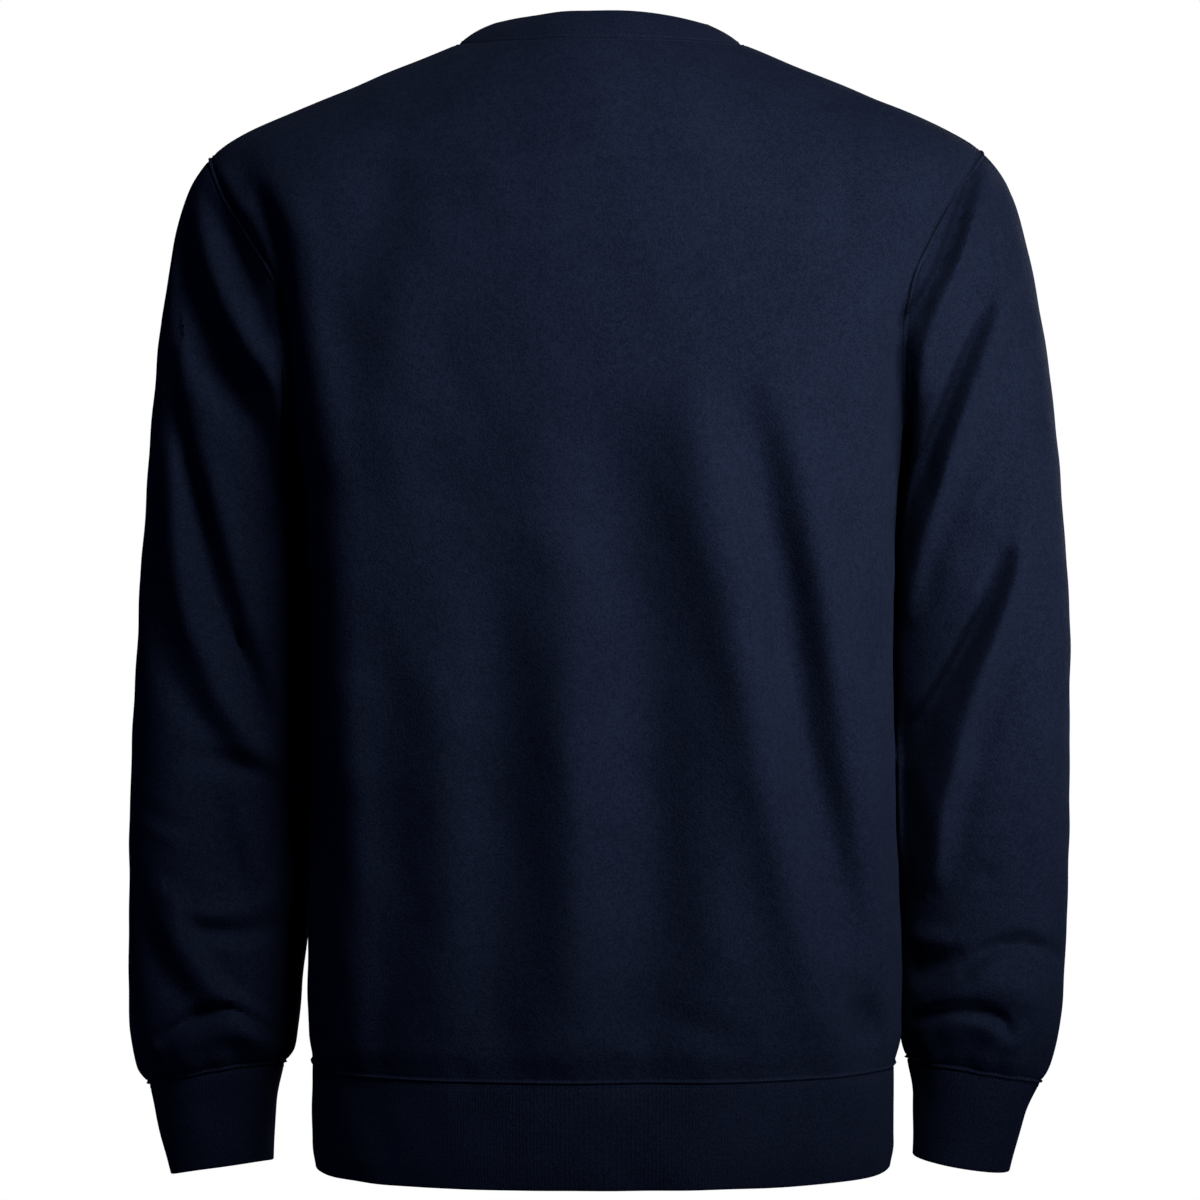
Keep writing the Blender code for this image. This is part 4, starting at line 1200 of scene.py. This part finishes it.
@dataclass(frozen=True)
class Fleece(Finish):
    """Brushed navy fleece: a fine knit face with a worn, speckled nap.

    The scales are noise cells per metre. The shares say how far each noise moves
    the colour, the knit's share as painted shade in its hollows, and the heights
    what it adds to the bump.
    """

    low: tuple[float, float, float] = (0.0085, 0.0130, 0.0310)
    high: tuple[float, float, float] = (0.0160, 0.0235, 0.0520)
    nap_scale: float = 760.0
    nap_roughness: float = 0.65
    nap_share: float = 3.4
    nap_height: float = 1.5
    nap_shine: float = 0.16
    tuft_scale: float = 210.0
    tuft_share: float = 0.9
    tuft_height: float = 0.7
    cloud_scale: float = 22.0
    cloud_share: float = 0.8
    # painted shade: how far the knit's wave darkens the colour in its hollows, where the bump is low
    painted_knit_shade: float = 0.02
    knit_height: float = 0.05
    bump_strength: float = 0.6
    bump_distance: float = 0.0007

    def material(self) -> bpy.types.Material:
        """Build the material."""
        kit = self.kit("brushed_fleece")
        wale, course = kit.knit()
        nap = kit.noise(self.nap_scale, detail=2.0, roughness=self.nap_roughness)
        tuft = kit.noise(self.tuft_scale, detail=1.0)
        cloud = kit.noise(self.cloud_scale, detail=2.0)
        knit = kit.wave(wale) * 0.5 + kit.wave(course) * 0.5
        speckle = (nap - 0.5) * self.nap_share + (tuft - 0.5) * self.tuft_share
        speckle = speckle + (cloud - 0.5) * self.cloud_share
        # painted shade: the knit's wave darkens the colour in the knit's hollows, where its bump is low
        kit.colour(speckle + knit * self.painted_knit_shade + 0.5, self.low, self.high)
        kit.put(kit.shader.inputs["Roughness"], self.roughness - (nap - 0.5) * self.nap_shine)
        height = nap * self.nap_height + tuft * self.tuft_height + knit * self.knit_height
        kit.bump(height, self.bump_strength, self.bump_distance)
        return kit.material


@dataclass(frozen=True)
class RibKnit(Fleece):
    """Fine one-by-one rib in the fleece's navy, with painted shade in its furrows."""

    low: tuple[float, float, float] = (0.0075, 0.0115, 0.0275)
    high: tuple[float, float, float] = (0.0150, 0.0220, 0.0490)
    nap_share: float = 3.2
    nap_height: float = 1.2
    cloud_share: float = 0.9
    # painted shade: how far the rib's wave darkens the colour in its furrows
    painted_furrow_shade: float = 0.04
    rib_height: float = 0.14
    course_height: float = 0.03

    def material(self) -> bpy.types.Material:
        """Build the material."""
        kit = self.kit("fine_rib")
        wale, course = kit.knit()
        nap = kit.noise(self.nap_scale, detail=2.0, roughness=self.nap_roughness)
        cloud = kit.noise(self.cloud_scale, detail=2.0)
        rib = kit.wave(wale)
        speckle = (nap - 0.5) * self.nap_share + (cloud - 0.5) * self.cloud_share
        # painted shade: the rib's wave darkens the colour in its furrows, where its bump is low
        kit.colour(speckle + rib * self.painted_furrow_shade + 0.5, self.low, self.high)
        kit.put(kit.shader.inputs["Roughness"], self.roughness - (nap - 0.5) * self.nap_shine)
        height = rib * self.rib_height + kit.wave(course) * self.course_height
        kit.bump(height + nap * self.nap_height, self.bump_strength, self.bump_distance)
        return kit.material


@dataclass(frozen=True)
class Thread(Finish):
    """Spun sewing thread in the cloth's own colour."""

    low: tuple[float, float, float] = (0.0090, 0.0140, 0.0330)
    high: tuple[float, float, float] = (0.0190, 0.0280, 0.0620)
    roughness: float = 0.75
    specular: float = 0.35
    ply_scale: float = 2600.0
    ply_share: float = 1.4
    ply_start: float = 0.2
    ply_shine: float = 0.2
    bump_strength: float = 0.4
    bump_distance: float = 0.0002

    def material(self) -> bpy.types.Material:
        """Build the material."""
        kit = self.kit("sewing_thread")
        ply = kit.noise(self.ply_scale, detail=1.0)
        kit.colour(ply * self.ply_share - self.ply_start, self.low, self.high)
        kit.put(kit.shader.inputs["Roughness"], self.roughness - (ply - 0.5) * self.ply_shine)
        kit.bump(ply, self.bump_strength, self.bump_distance)
        return kit.material


# -------------------------------------------------------------------- cloth
def skin_normals(grids: Sequence[Array]) -> list[Array]:
    """Outward normals of skins that meet, smooth over the seams they share.

    Each face adds the cross product of its diagonals to its corners, and points
    that coincide, also points of different skins, share one sum.

    Args:
        grids: the skins.

    Returns:
        The unit normals of each.
    """
    points = np.concatenate([grid.reshape(-1, 3) for grid in grids])
    _, shared = np.unique(np.round(points, SAME_PLACE), axis=0, return_inverse=True)
    shared = shared.reshape(-1)
    total = np.zeros((shared.max() + 1, 3))
    start = 0
    for grid in grids:
        index = start + np.arange(grid.shape[0] * grid.shape[1]).reshape(grid.shape[:2])
        start += index.size
        low, right = index[:-1, :-1].ravel(), index[:-1, 1:].ravel()
        corner, up = index[1:, 1:].ravel(), index[1:, :-1].ravel()
        face = np.cross(points[corner] - points[low], points[up] - points[right])
        for group in (low, right, corner, up):
            for axis in range(3):
                total[:, axis] += np.bincount(shared[group], face[:, axis], len(total))
    normals = unit(total)[shared]
    sizes = np.cumsum([grid.shape[0] * grid.shape[1] for grid in grids])[:-1]
    return [part.reshape(grid.shape) for part, grid in zip(np.split(normals, sizes), grids)]


def make_piece(
    name: str, corners: Array, faces: Array, material: bpy.types.Material
) -> bpy.types.Object:
    """Make a smooth object of these faces at the origin, in the scene.

    Args:
        name: the object's and the mesh's name.
        corners: the corners, (N, 3).
        faces: numbers of each face's corners.
        material: the finish it wears.

    Returns:
        The object.
    """
    mesh = bpy.data.meshes.new(name)
    mesh.from_pydata(corners.tolist(), [], faces.tolist())
    mesh.shade_smooth()
    mesh.materials.append(material)
    piece = bpy.data.objects.new(name, mesh)
    bpy.context.scene.collection.objects.link(piece)
    return piece


def from_edges(grid: Array) -> Array:
    """Direction from each edge point of a grid to the point next to it inside.

    Args:
        grid: the points.

    Returns:
        Unit directions, which are nought away from the edges.
    """
    inward = np.zeros_like(grid)
    inward[0] = grid[1] - grid[0]
    inward[-1] = grid[-2] - grid[-1]
    inward[1:-1, 0] = grid[1:-1, 1] - grid[1:-1, 0]
    inward[1:-1, -1] = grid[1:-1, -2] - grid[1:-1, -1]
    return unit(inward)


@dataclass
class Cloth:
    """One cut piece: its skin as a grid, and the wall and knit that it gets."""

    name: str
    skin: Array
    ring: bool
    wall: float
    part: Part
    slot: str
    flat: tuple[float, float]
    flat_area: float
    folded: Optional[str] = None
    seams: tuple[str, ...] = ()
    wale: float = 0.0012
    course: float = 0.0010
    rests_on: tuple[str, ...] = ()
    normals: Array = field(default_factory=lambda: np.empty(0))
    joined: Array = field(default_factory=lambda: np.empty(0))

    MITRE_FROM = 0.86
    MITRE_RAMP = 0.10
    FOLDED_FROM = 0.10
    FOLDED_RAMP = 0.30
    LEAST_MITRE = 0.75
    RIM_LINES = 4

    def inner_skin(self) -> Array:
        """The skin moved in by the wall, with seam edges mitred to neighbours.

        Where the neighbour bends away the walls share the joined direction, and
        where the two fold together each keeps its own.
        """
        own, joined = self.normals, self.joined
        fold = np.sum(from_edges(self.skin) * joined, axis=-1, keepdims=True)
        turned = np.sum(own * joined, axis=-1, keepdims=True)
        share = smoothstep((turned - self.MITRE_FROM) / self.MITRE_RAMP)
        share = share * (1.0 - smoothstep((fold - self.FOLDED_FROM) / self.FOLDED_RAMP))
        direction = unit(own + (joined - own) * share)
        mitre = np.clip(np.sum(own * direction, axis=-1, keepdims=True), self.LEAST_MITRE, 1.0)
        return self.skin - self.wall * direction / mitre

    def pulled_back(self, grid: Array) -> Array:
        """The grid with its seam edges drawn in by half the seam gap.

        Args:
            grid: the points of the outer or inner skin.

        Returns:
            A changed copy.
        """
        moved = grid.copy()
        for seam in self.seams:
            edge, beside = {
                "bottom": ((0,), (1,)),
                "top": ((-1,), (-2,)),
                "left": ((slice(None), 0), (slice(None), 1)),
                "right": ((slice(None), -1), (slice(None), -2)),
            }[seam]
            along = unit(np.gradient(grid[edge], axis=0))
            inward = grid[beside] - grid[edge]
            inward = inward - along * np.sum(inward * along, axis=-1, keepdims=True)
            moved[edge] += 0.5 * SEAM_GAP * unit(inward)
        return moved

    def rim(self, outer: Array, inner: Array, beside: Array) -> Array:
        """Lines of a folded rim: half an ellipse from the outer to the inner edge.

        Args:
            outer: edge line of the outer skin.
            inner: edge line of the inner skin.
            beside: middle of the wall one row in.

        Returns:
            The lines between both edges.
        """
        middle = 0.5 * (outer + inner)
        out = unit(middle - beside) * RIM_ROUND
        angle = np.linspace(0.0, math.pi, self.RIM_LINES + 2)[1:-1, None, None]
        return middle + 0.5 * (outer - inner) * np.cos(angle) + out * np.sin(angle)

    def section_grid(self) -> Array:
        """The whole wall as one grid, wrapped round its section.

        Outer rows going up, the top rim, inner rows going down, the bottom rim.
        """
        outer = self.pulled_back(self.skin)
        inner = self.pulled_back(self.inner_skin())
        lines = [outer]
        if self.folded == "top":
            lines.append(self.rim(outer[-1], inner[-1], 0.5 * (outer[-2] + inner[-2])))
        lines.append(inner[::-1])
        if self.folded == "bottom":
            lines.append(self.rim(outer[0], inner[0], 0.5 * (outer[1] + inner[1]))[::-1])
        return np.concatenate(lines)

    def knit_places(self, grid: Array) -> Array:
        """Wale and course number at each point of the wrapped grid.

        A rib has a whole number of wales round it. On the fleece a wale is a
        constant distance from the piece's middle line.

        Args:
            grid: the wrapped grid.

        Returns:
            Both numbers, (rows, columns, 2).
        """
        rows, columns, _ = grid.shape
        course = run_length(grid, 0) / self.course
        if self.slot == "rib":
            girth = np.linalg.norm(np.diff(self.skin[0], axis=0), axis=1).sum()
            wales = np.linspace(0.0, round(girth / self.wale), columns)
            return np.stack([np.broadcast_to(wales, (rows, columns)), course], axis=-1)
        across = run_length(self.skin, 1)
        middle = across.shape[1] // 2
        wales = (across - across[:, middle:middle + 1]) / self.wale
        return np.stack([np.concatenate([wales, wales[::-1]]), course], axis=-1)

    def build(self, material: bpy.types.Material) -> bpy.types.Object:
        """Make the piece as an object with its knit coordinates.

        Args:
            material: the finish it wears.

        Returns:
            The object, at the origin.
        """
        grid = self.section_grid()
        places = self.knit_places(grid)
        rows, columns, _ = grid.shape
        solid_columns = columns - 1 if self.ring else columns
        row, column = np.meshgrid(np.arange(rows), np.arange(columns - 1), indexing="ij")
        next_row = (row + 1) % rows
        loop = [(row, column), (row, column + 1), (next_row, column + 1), (next_row, column)]
        faces = np.stack([r * solid_columns + c % solid_columns for r, c in loop], axis=-1)
        knit = np.stack([places[r, c] for r, c in loop], axis=2)
        knit[-1, :, 2:, 1] = places[-1, :1, 1] + 1.0
        faces = faces.reshape(-1, 4)
        knit = knit.reshape(-1, 4, 2)
        if not self.ring:
            high = self.skin.shape[0]
            up = np.arange(high - 1)
            inside = rows - 1 - up
            for end, flip in ((0, False), (columns - 1, True)):
                loop = [(up, end), (up + 1, end), (inside - 1, end), (inside, end)]
                loop = loop[::-1] if flip else loop
                ends = np.stack([r * solid_columns + c for r, c in loop], axis=-1)
                faces = np.concatenate([faces, ends])
                knit = np.concatenate([knit, np.stack([places[r, c] for r, c in loop], axis=1)])
        corners = grid[:, :solid_columns].reshape(-1, 3)
        piece = make_piece(self.name + "_cloth", corners, faces, material)
        layer = piece.data.uv_layers.new(name="knit")
        layer.data.foreach_set("uv", knit.reshape(-1))
        piece.data.set_sharp_from_angle(angle=math.radians(SHARP_EDGE))
        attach(piece, "root")
        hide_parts(self.name)
        log.info("%s: %d faces", piece.name, len(faces))
        return piece


# ------------------------------------------------------------------ garment
STITCH_NEAR = 0.0023       # distances of the rows of stitches from their seams
STITCH_RIB = 0.0028
STITCH_FAR = 0.0049
PLAIN_REACH = 0.008        # how far a plain seam's relief reaches


@dataclass(frozen=True)
class StitchRow:
    """A row of stitches on one piece, at an even distance from a seam's edge."""

    piece: str
    edge: str
    distance: float
    columns: Optional[slice] = None


class Garment:
    """All the cloth: skins, folds, seam relief and walls."""

    TORSO = ("back", "front", "waistband", "collar")
    RIB = {"slot": "rib", "ring": True, "wale": 0.0015}

    def __init__(self, body: Body, arms: Sequence[Arm]) -> None:
        """Lay out the skins of every piece, on shared seam lines.

        Args:
            body: the sizes of body, waistband and collar.
            arms: the left and the right arm.
        """
        self.body = body
        self.arms = arms
        self.cloths: dict[str, Cloth] = {}
        self.seams: list[Seam] = []
        self.neck = slice(None)
        self.armpit = 0
        self.lay_out()

    def add(self, name: str, skin: Array, **facts: object) -> None:
        """Keep one piece, with the wall of its cloth."""
        rib = facts["slot"] == "rib"
        wall = RIB_WALL if rib else FLEECE_WALL
        self.cloths[name] = Cloth(name, skin, wall=wall, **facts)

    def lay_out(self) -> None:
        """Work out each piece's skin from the body's and arms' sizes."""
        body = self.body
        back, front = body.panel(True), body.panel(False)
        neck = np.flatnonzero(np.abs(body.columns()) <= body.neck_part + TINY)
        self.neck = slice(neck[0], neck[-1] + 1)
        self.armpit = back.shape[0] - len(body.rising())
        fleece = {"part": Part.BODY, "slot": "fleece", "ring": False}
        edges = ("bottom", "left", "right", "top")
        self.add("back", back, flat=(0.60, 0.67), flat_area=0.317, seams=edges, **fleece)
        self.add("front", front[:, ::-1], flat=(0.68, 0.60), flat_area=0.295, seams=edges, **fleece)
        self.add(
            "waistband", body.waistband(there_and_back(back[0], front[0]))[::-1],
            flat=(0.994, 0.064), flat_area=0.0618, part=Part.BODY, folded="bottom",
            seams=("top",), rests_on=("back", "front"), **self.RIB,
        )
        self.add(
            "collar", body.collar(there_and_back(back[-1, self.neck], front[-1, self.neck])),
            flat=(0.60, 0.026), flat_area=0.0128, part=Part.BODY, folded="top",
            seams=("bottom",), rests_on=("back", "front"), **self.RIB,
        )
        self.seams.append(Seam("waistband", (-1,), {
            "back": FLEECE_AT_BAND, "front": FLEECE_AT_BAND, "waistband": RIB_AT_BAND,
        }))
        self.seams.append(Seam("collar", (0,), {
            "back": FLEECE_AT_NECK, "front": FLEECE_AT_NECK, "collar": RIB_AT_NECK,
        }))
        for arm in self.arms:
            self.lay_out_arm(arm, back, front)

    def lay_out_arm(self, arm: Arm, back: Array, front: Array) -> None:
        """Work out the skins and seams of a sleeve and its cuff.

        Args:
            arm: its sizes.
            back: the back's skin.
            front: the front's skin, with its columns in the back's order.
        """
        on_left = arm.side > 0.0
        column = 0 if on_left else -1
        order = -1 if on_left else 1
        rising = self.body.rising()
        turn = math.pi * there_and_back(rising, 2.0 - rising)
        loop = there_and_back(back[self.armpit:, column], front[self.armpit:, column])
        sleeve = arm.sleeve(self.body, loop, turn)
        cuff = arm.cuff(sleeve[-1], turn)
        sleeve_name, cuff_name = "sleeve_" + arm.word, "cuff_" + arm.word
        self.add(
            sleeve_name, sleeve[::-1, ::order], flat=(0.53, 0.61), flat_area=arm.flat_area,
            part=arm.part, slot="fleece", ring=True, seams=("bottom", "top"),
            rests_on=("back", "front"),
        )
        self.add(
            cuff_name, cuff[::-1, ::order], flat=(0.275, 0.065), flat_area=0.0140,
            part=arm.part, folded="bottom", seams=("top",), rests_on=(sleeve_name,), **self.RIB,
        )
        self.seams.append(Seam(sleeve_name, (-1,), {
            "back": BODY_AT_ARMHOLE, "front": BODY_AT_ARMHOLE, sleeve_name: ARM_AT_ARMHOLE,
        }))
        self.seams.append(Seam(sleeve_name, (0,), {
            sleeve_name: FLEECE_AT_CUFF, cuff_name: RIB_AT_CUFF,
        }))
        side = (slice(0, self.armpit + 1), column)
        tip_to_neck = slice(0, self.neck.start + 1) if on_left else slice(self.neck.stop - 1, None)
        shoulder = (-1, tip_to_neck)
        for edge in (side, shoulder):
            panels = {"back": PLAIN_SEAM, "front": PLAIN_SEAM}
            self.seams.append(Seam("back", edge, panels, PLAIN_REACH))
        under_arm = (slice(None), 0)
        self.seams.append(Seam(sleeve_name, under_arm, {sleeve_name: PLAIN_SEAM}, PLAIN_REACH))

    def stitch_rows(self) -> dict[str, tuple[StitchRow, ...]]:
        """The rows of topstitching beside each seam."""
        rows = {
            "waist": (
                StitchRow("back", "bottom", STITCH_NEAR),
                StitchRow("front", "bottom", STITCH_NEAR),
                StitchRow("waistband", "top", STITCH_RIB),
            ),
            "neck": (
                StitchRow("back", "top", STITCH_NEAR, self.neck),
                StitchRow("front", "top", STITCH_NEAR, self.neck),
                StitchRow("collar", "bottom", STITCH_NEAR),
            ),
        }
        high = slice(self.armpit, None)
        for word, other in (("left", "right"), ("right", "left")):
            rows["armhole_" + word] = (
                StitchRow("sleeve_" + word, "top", STITCH_NEAR),
                StitchRow("back", word, STITCH_FAR, high),
                StitchRow("front", other, STITCH_FAR, high),
            )
            rows["cuff_" + word] = (
                StitchRow("sleeve_" + word, "bottom", STITCH_NEAR),
                StitchRow("cuff_" + word, "top", STITCH_RIB),
            )
        return rows

    def line_of(self, seam: Seam) -> Array:
        """The line that a seam has now."""
        return self.cloths[seam.owner].skin[seam.edge]

    def refresh_normals(self) -> None:
        """Work out each piece's normals, alone with its own side and all joined."""
        names = list(self.cloths)
        skins = [self.cloths[name].skin for name in names]
        for name, joined in zip(names, skin_normals(skins)):
            self.cloths[name].joined = joined
        groups = [self.TORSO] + [("sleeve_" + arm.word, "cuff_" + arm.word) for arm in self.arms]
        for group in groups:
            own = skin_normals([self.cloths[name].skin for name in group])
            for name, normals in zip(group, own):
                self.cloths[name].normals = normals

    def crease(self) -> None:
        """Push the folds into all skins."""
        self.refresh_normals()
        for cloth in self.cloths.values():
            pushed = cloth.skin.copy()
            for fold in FOLDS:
                if fold.part in (Part.ANY, cloth.part):
                    pushed[..., fold.facing.value[0]] += fold.push(cloth.skin, cloth.joined)
            cloth.skin = pushed

    def sew(self) -> None:
        """Give the cloth its faint unevenness and the relief of its seams."""
        self.refresh_normals()
        uneven = Unevenness()
        moved = {}
        for name, cloth in self.cloths.items():
            relief = uneven.relief(cloth.skin)
            for seam in self.seams:
                if name in seam.sides:
                    relief = relief + seam.relief(name, cloth.skin, self.line_of(seam))
            moved[name] = cloth.skin + cloth.joined * relief[..., None]
        for name, skin in moved.items():
            self.cloths[name].skin = skin
        self.refresh_normals()


# ----------------------------------------------------------------- stitches
@dataclass
class Stitching:
    """Rows of topstitching: small threads that arch out of the cloth and back in."""

    pitch: float = 0.0022
    length: float = 0.0019
    radius: float = 0.00024
    rise: float = 0.00016
    sink: float = 0.00030
    sides: int = 5
    stops: tuple[float, ...] = (-1.0, -0.55, 0.0, 0.55, 1.0)
    end_width: float = 0.08           # square of the ends' share of the radius
    rows_near: int = 24               # grid rows in which a row of stitches can lie

    def row_path(self, cloth: Cloth, row: StitchRow) -> tuple[Array, Array]:
        """Points and normals of the cloth at the row's distance from its edge.

        The distance is run along the cloth, line by line, and the wanted place
        lies between the two grid rows around it.

        Args:
            cloth: the piece.
            row: the row's edge, distance and columns.

        Returns:
            The row's points and its unit normals.
        """
        skin, normals = cloth.skin, cloth.normals
        if row.edge in ("left", "right"):
            skin, normals = skin.swapaxes(0, 1), normals.swapaxes(0, 1)
        if row.edge in ("top", "right"):
            skin, normals = skin[::-1], normals[::-1]
        columns = row.columns or slice(None)
        skin, normals = skin[:self.rows_near, columns], normals[:self.rows_near, columns]
        run = run_length(skin, 0)
        after = np.argmax(run >= row.distance, axis=0)
        column = np.arange(skin.shape[1])
        low, high = run[after - 1, column], run[after, column]
        share = ((row.distance - low) / (high - low))[:, None]
        points = skin[after - 1, column] * (1.0 - share) + skin[after, column] * share
        return points, unit(normals[after - 1, column] * (1.0 - share) + normals[after, column] * share)

    def threads(self, points: Array, normals: Array) -> tuple[Array, Array]:
        """Corners and faces of all threads along one row.

        Each thread is a tube round a parabola that rises above the cloth in its
        middle and sinks into it at both ends: height = rise - (rise + sink) t^2,
        with t from -1 to 1, and it narrows towards its ends.

        Args:
            points: the row's path on the cloth.
            normals: the cloth's normals along it.

        Returns:
            All corners, and faces of four.
        """
        run = np.concatenate([[0.0], np.cumsum(np.linalg.norm(np.diff(points, axis=0), axis=1))])
        count = max(1, round(run[-1] / self.pitch))
        middle = (np.arange(count) + 0.5) * run[-1] / count
        t = np.array(self.stops)
        at = middle[:, None] + 0.5 * self.length * t
        place = np.stack([np.interp(at, run, points[:, axis]) for axis in range(3)], axis=-1)
        up = unit(np.stack([np.interp(at, run, normals[:, axis]) for axis in range(3)], axis=-1))
        along = unit(place[:, -1:] - place[:, :1])
        side = unit(np.cross(along, up))
        height = self.rise - (self.rise + self.sink) * t[:, None] ** 2
        place = place + up * height
        angle = 2.0 * math.pi * np.arange(self.sides) / self.sides
        thin = self.radius * np.sqrt(1.0 + self.end_width - t ** 2)[:, None, None]
        around = (
            side[:, :, None] * np.cos(angle)[:, None] + up[:, :, None] * np.sin(angle)[:, None]
        )
        corners = place[:, :, None] + thin * around
        ring, spoke = np.meshgrid(np.arange(len(t) - 1), np.arange(self.sides), indexing="ij")
        after = (spoke + 1) % self.sides
        face = np.stack([
            ring * self.sides + spoke, ring * self.sides + after,
            (ring + 1) * self.sides + after, (ring + 1) * self.sides + spoke,
        ], axis=-1).reshape(-1, 4)
        start = np.arange(count)[:, None, None] * len(t) * self.sides
        return corners.reshape(-1, 3), (face + start).reshape(-1, 4)

    def build(
        self, name: str, slot: str, cloths: dict[str, Cloth], rows: Sequence[StitchRow],
        material: bpy.types.Material,
    ) -> bpy.types.Object:
        """Make one object of all stitches beside a seam.

        Args:
            name: the object's name.
            slot: not used.
            cloths: all cloth pieces by name.
            rows: the rows to sew.
            material: the thread's finish.

        Returns:
            The object, at the origin.
        """
        corners, faces, start = [], [], 0
        for row in rows:
            corner, face = self.threads(*self.row_path(cloths[row.piece], row))
            corners.append(corner)
            faces.append(face + start)
            start += len(corner)
        piece = make_piece(name, np.concatenate(corners), np.concatenate(faces), material)
        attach(piece, "root")
        log.info("%s: %d faces", name, sum(len(face) for face in faces))
        return piece


# ------------------------------------------------------------------- studio
AIM = (0.02, 0.0, -0.15)       # what all lamps look at


def around(turn: float, rise: float, distance: float) -> tuple[float, ...]:
    """Place at a distance from the lamps' aim.

    Args:
        turn: degrees from the camera's line, to the camera's left.
        rise: degrees above the level.
        distance: distance in metres.

    Returns:
        The place.
    """
    turn, rise = math.radians(turn), math.radians(rise)
    way = (-math.sin(turn) * math.cos(rise), math.cos(turn) * math.cos(rise), math.sin(rise))
    return tuple(np.array(AIM) + distance * np.array(way))


@dataclass(frozen=True)
class Lamp:
    """A square soft lamp, with its power in watts and its beam's width in degrees."""

    name: str
    place: tuple[float, ...]
    size: float
    power: float
    spread: float = 90.0

    def hang(self) -> None:
        """Add it to the scene, turned to the aim."""
        data = bpy.data.lights.new(self.name, "AREA")
        data.size = self.size
        data.energy = self.power
        data.spread = math.radians(self.spread)
        lamp = bpy.data.objects.new(self.name, data)
        lamp.location = self.place
        away = np.array(self.place) - np.array(AIM)
        lamp.rotation_euler = (
            math.acos(away[2] / np.linalg.norm(away)), 0.0, math.atan2(away[0], -away[1])
        )
        bpy.context.scene.collection.objects.link(lamp)


@dataclass
class Studio:
    """Pale floor, white surround, soft lamps and the camera behind the wearer."""

    camera_place: tuple[float, float, float] = (0.0, 2.4, -0.345)
    lens: float = 115.2
    sensor: float = 36.0
    floor_z: float = -0.95
    floor_radius: float = 1.3
    floor_corners: int = 96
    floor_grey: float = 0.9
    fade_start: float = 3.2           # opacity of the floor: start - slope distance
    fade_slope: float = 2.8
    fade_soft: float = 0.2
    dim_colour: tuple[float, float, float] = (0.10, 0.30, 1.0)
    dim_strength: float = 0.04
    lamps: tuple[Lamp, ...] = (
        Lamp("key", around(turn=27.0, rise=25.0, distance=1.15), size=0.5, power=2.15),
        Lamp("side", around(turn=62.0, rise=-20.0, distance=0.9), size=0.35, power=0.75),
        Lamp("front", around(turn=148.0, rise=8.0, distance=1.15), size=0.5, power=1.5),
        Lamp("fill", (0.8, 2.6, 0.6), size=2.0, power=0.05, spread=180.0),
    )

    def camera(self) -> None:
        """Camera straight behind the wearer."""
        data = bpy.data.cameras.new("camera")
        data.sensor_width = self.sensor
        data.lens = self.lens
        camera = bpy.data.objects.new("camera", data)
        camera.location = self.camera_place
        camera.rotation_euler = (math.radians(90.0), 0.0, math.radians(180.0))
        bpy.context.scene.collection.objects.link(camera)
        bpy.context.scene.camera = camera

    def surround(self) -> None:
        """White to the camera, dim to the cloth."""
        world = bpy.data.worlds.new("studio")
        world.use_nodes = True
        bpy.context.scene.world = world
        nodes, links = world.node_tree.nodes, world.node_tree.links
        seen = nodes.new("ShaderNodeLightPath")
        mix = nodes.new("ShaderNodeMixShader")
        dim = nodes["Background"]
        dim.inputs["Color"].default_value = (*self.dim_colour, 1.0)
        dim.inputs["Strength"].default_value = self.dim_strength
        white = nodes.new("ShaderNodeBackground")
        white.inputs["Color"].default_value = (1.0, 1.0, 1.0, 1.0)
        white.inputs["Strength"].default_value = 1.0
        links.new(seen.outputs["Is Camera Ray"], mix.inputs["Fac"])
        links.new(dim.outputs["Background"], mix.inputs[1])
        links.new(white.outputs["Background"], mix.inputs[2])
        links.new(mix.outputs["Shader"], nodes["World Output"].inputs["Surface"])

    def floor(self) -> None:
        """A pale disc below the garment that fades away towards its rim."""
        angle = np.linspace(0.0, 2.0 * math.pi, self.floor_corners + 1)[:-1]
        circle = np.stack([np.cos(angle), np.sin(angle), np.zeros_like(angle)], axis=-1)
        corners = circle * self.floor_radius + [0.0, 0.0, self.floor_z]
        kit = NodeKit("pale_floor")
        kit.shader.inputs["Base Color"].default_value = (*[self.floor_grey] * 3, 1.0)
        kit.shader.inputs["Roughness"].default_value = 0.9
        where = kit.node("ShaderNodeTexCoord", {}, {}).outputs["Object"]
        flat = kit.node(
            "ShaderNodeVectorMath", {"operation": "MULTIPLY"}, {0: where, 1: (1.0, 1.0, 0.0)}
        )
        reach = kit.node(
            "ShaderNodeVectorMath", {"operation": "LENGTH"}, {0: flat.outputs["Vector"]}
        )
        away = Value(kit, reach.outputs["Value"])
        fade = self.fade_start - away * self.fade_slope
        fade = kit.math("SMOOTH_MIN", fade, 1.0, self.fade_soft)
        kit.put(kit.shader.inputs["Alpha"], kit.math("MAXIMUM", fade, 0.0))
        floor = make_piece("floor", corners, np.arange(len(angle))[None], kit.material)
        floor.visible_diffuse = False

    def build(self) -> None:
        """Set up everything round the garment."""
        self.camera()
        self.surround()
        self.floor()
        for lamp in self.lamps:
            lamp.hang()
        bpy.context.scene.view_settings.view_transform = "Standard"
        log.info("studio: camera, floor and %d lamps", len(self.lamps))


def main() -> None:
    """Build the garment and report each piece."""
    logging.basicConfig(level=logging.INFO, format="%(name)s: %(message)s")
    Studio().build()
    garment = Garment(Body(), (LEFT_ARM, RIGHT_ARM))
    garment.crease()
    garment.sew()
    finishes = {"fleece": Fleece().material(), "rib": RibKnit().material()}
    for cloth in garment.cloths.values():
        cloth.build(finishes[cloth.slot])
    thread = Thread().material()
    stitching = Stitching()
    for name, rows in garment.stitch_rows().items():
        stitching.build("stitches_" + name, "fleece", garment.cloths, rows, thread)


if __name__ == "__main__":
    main()
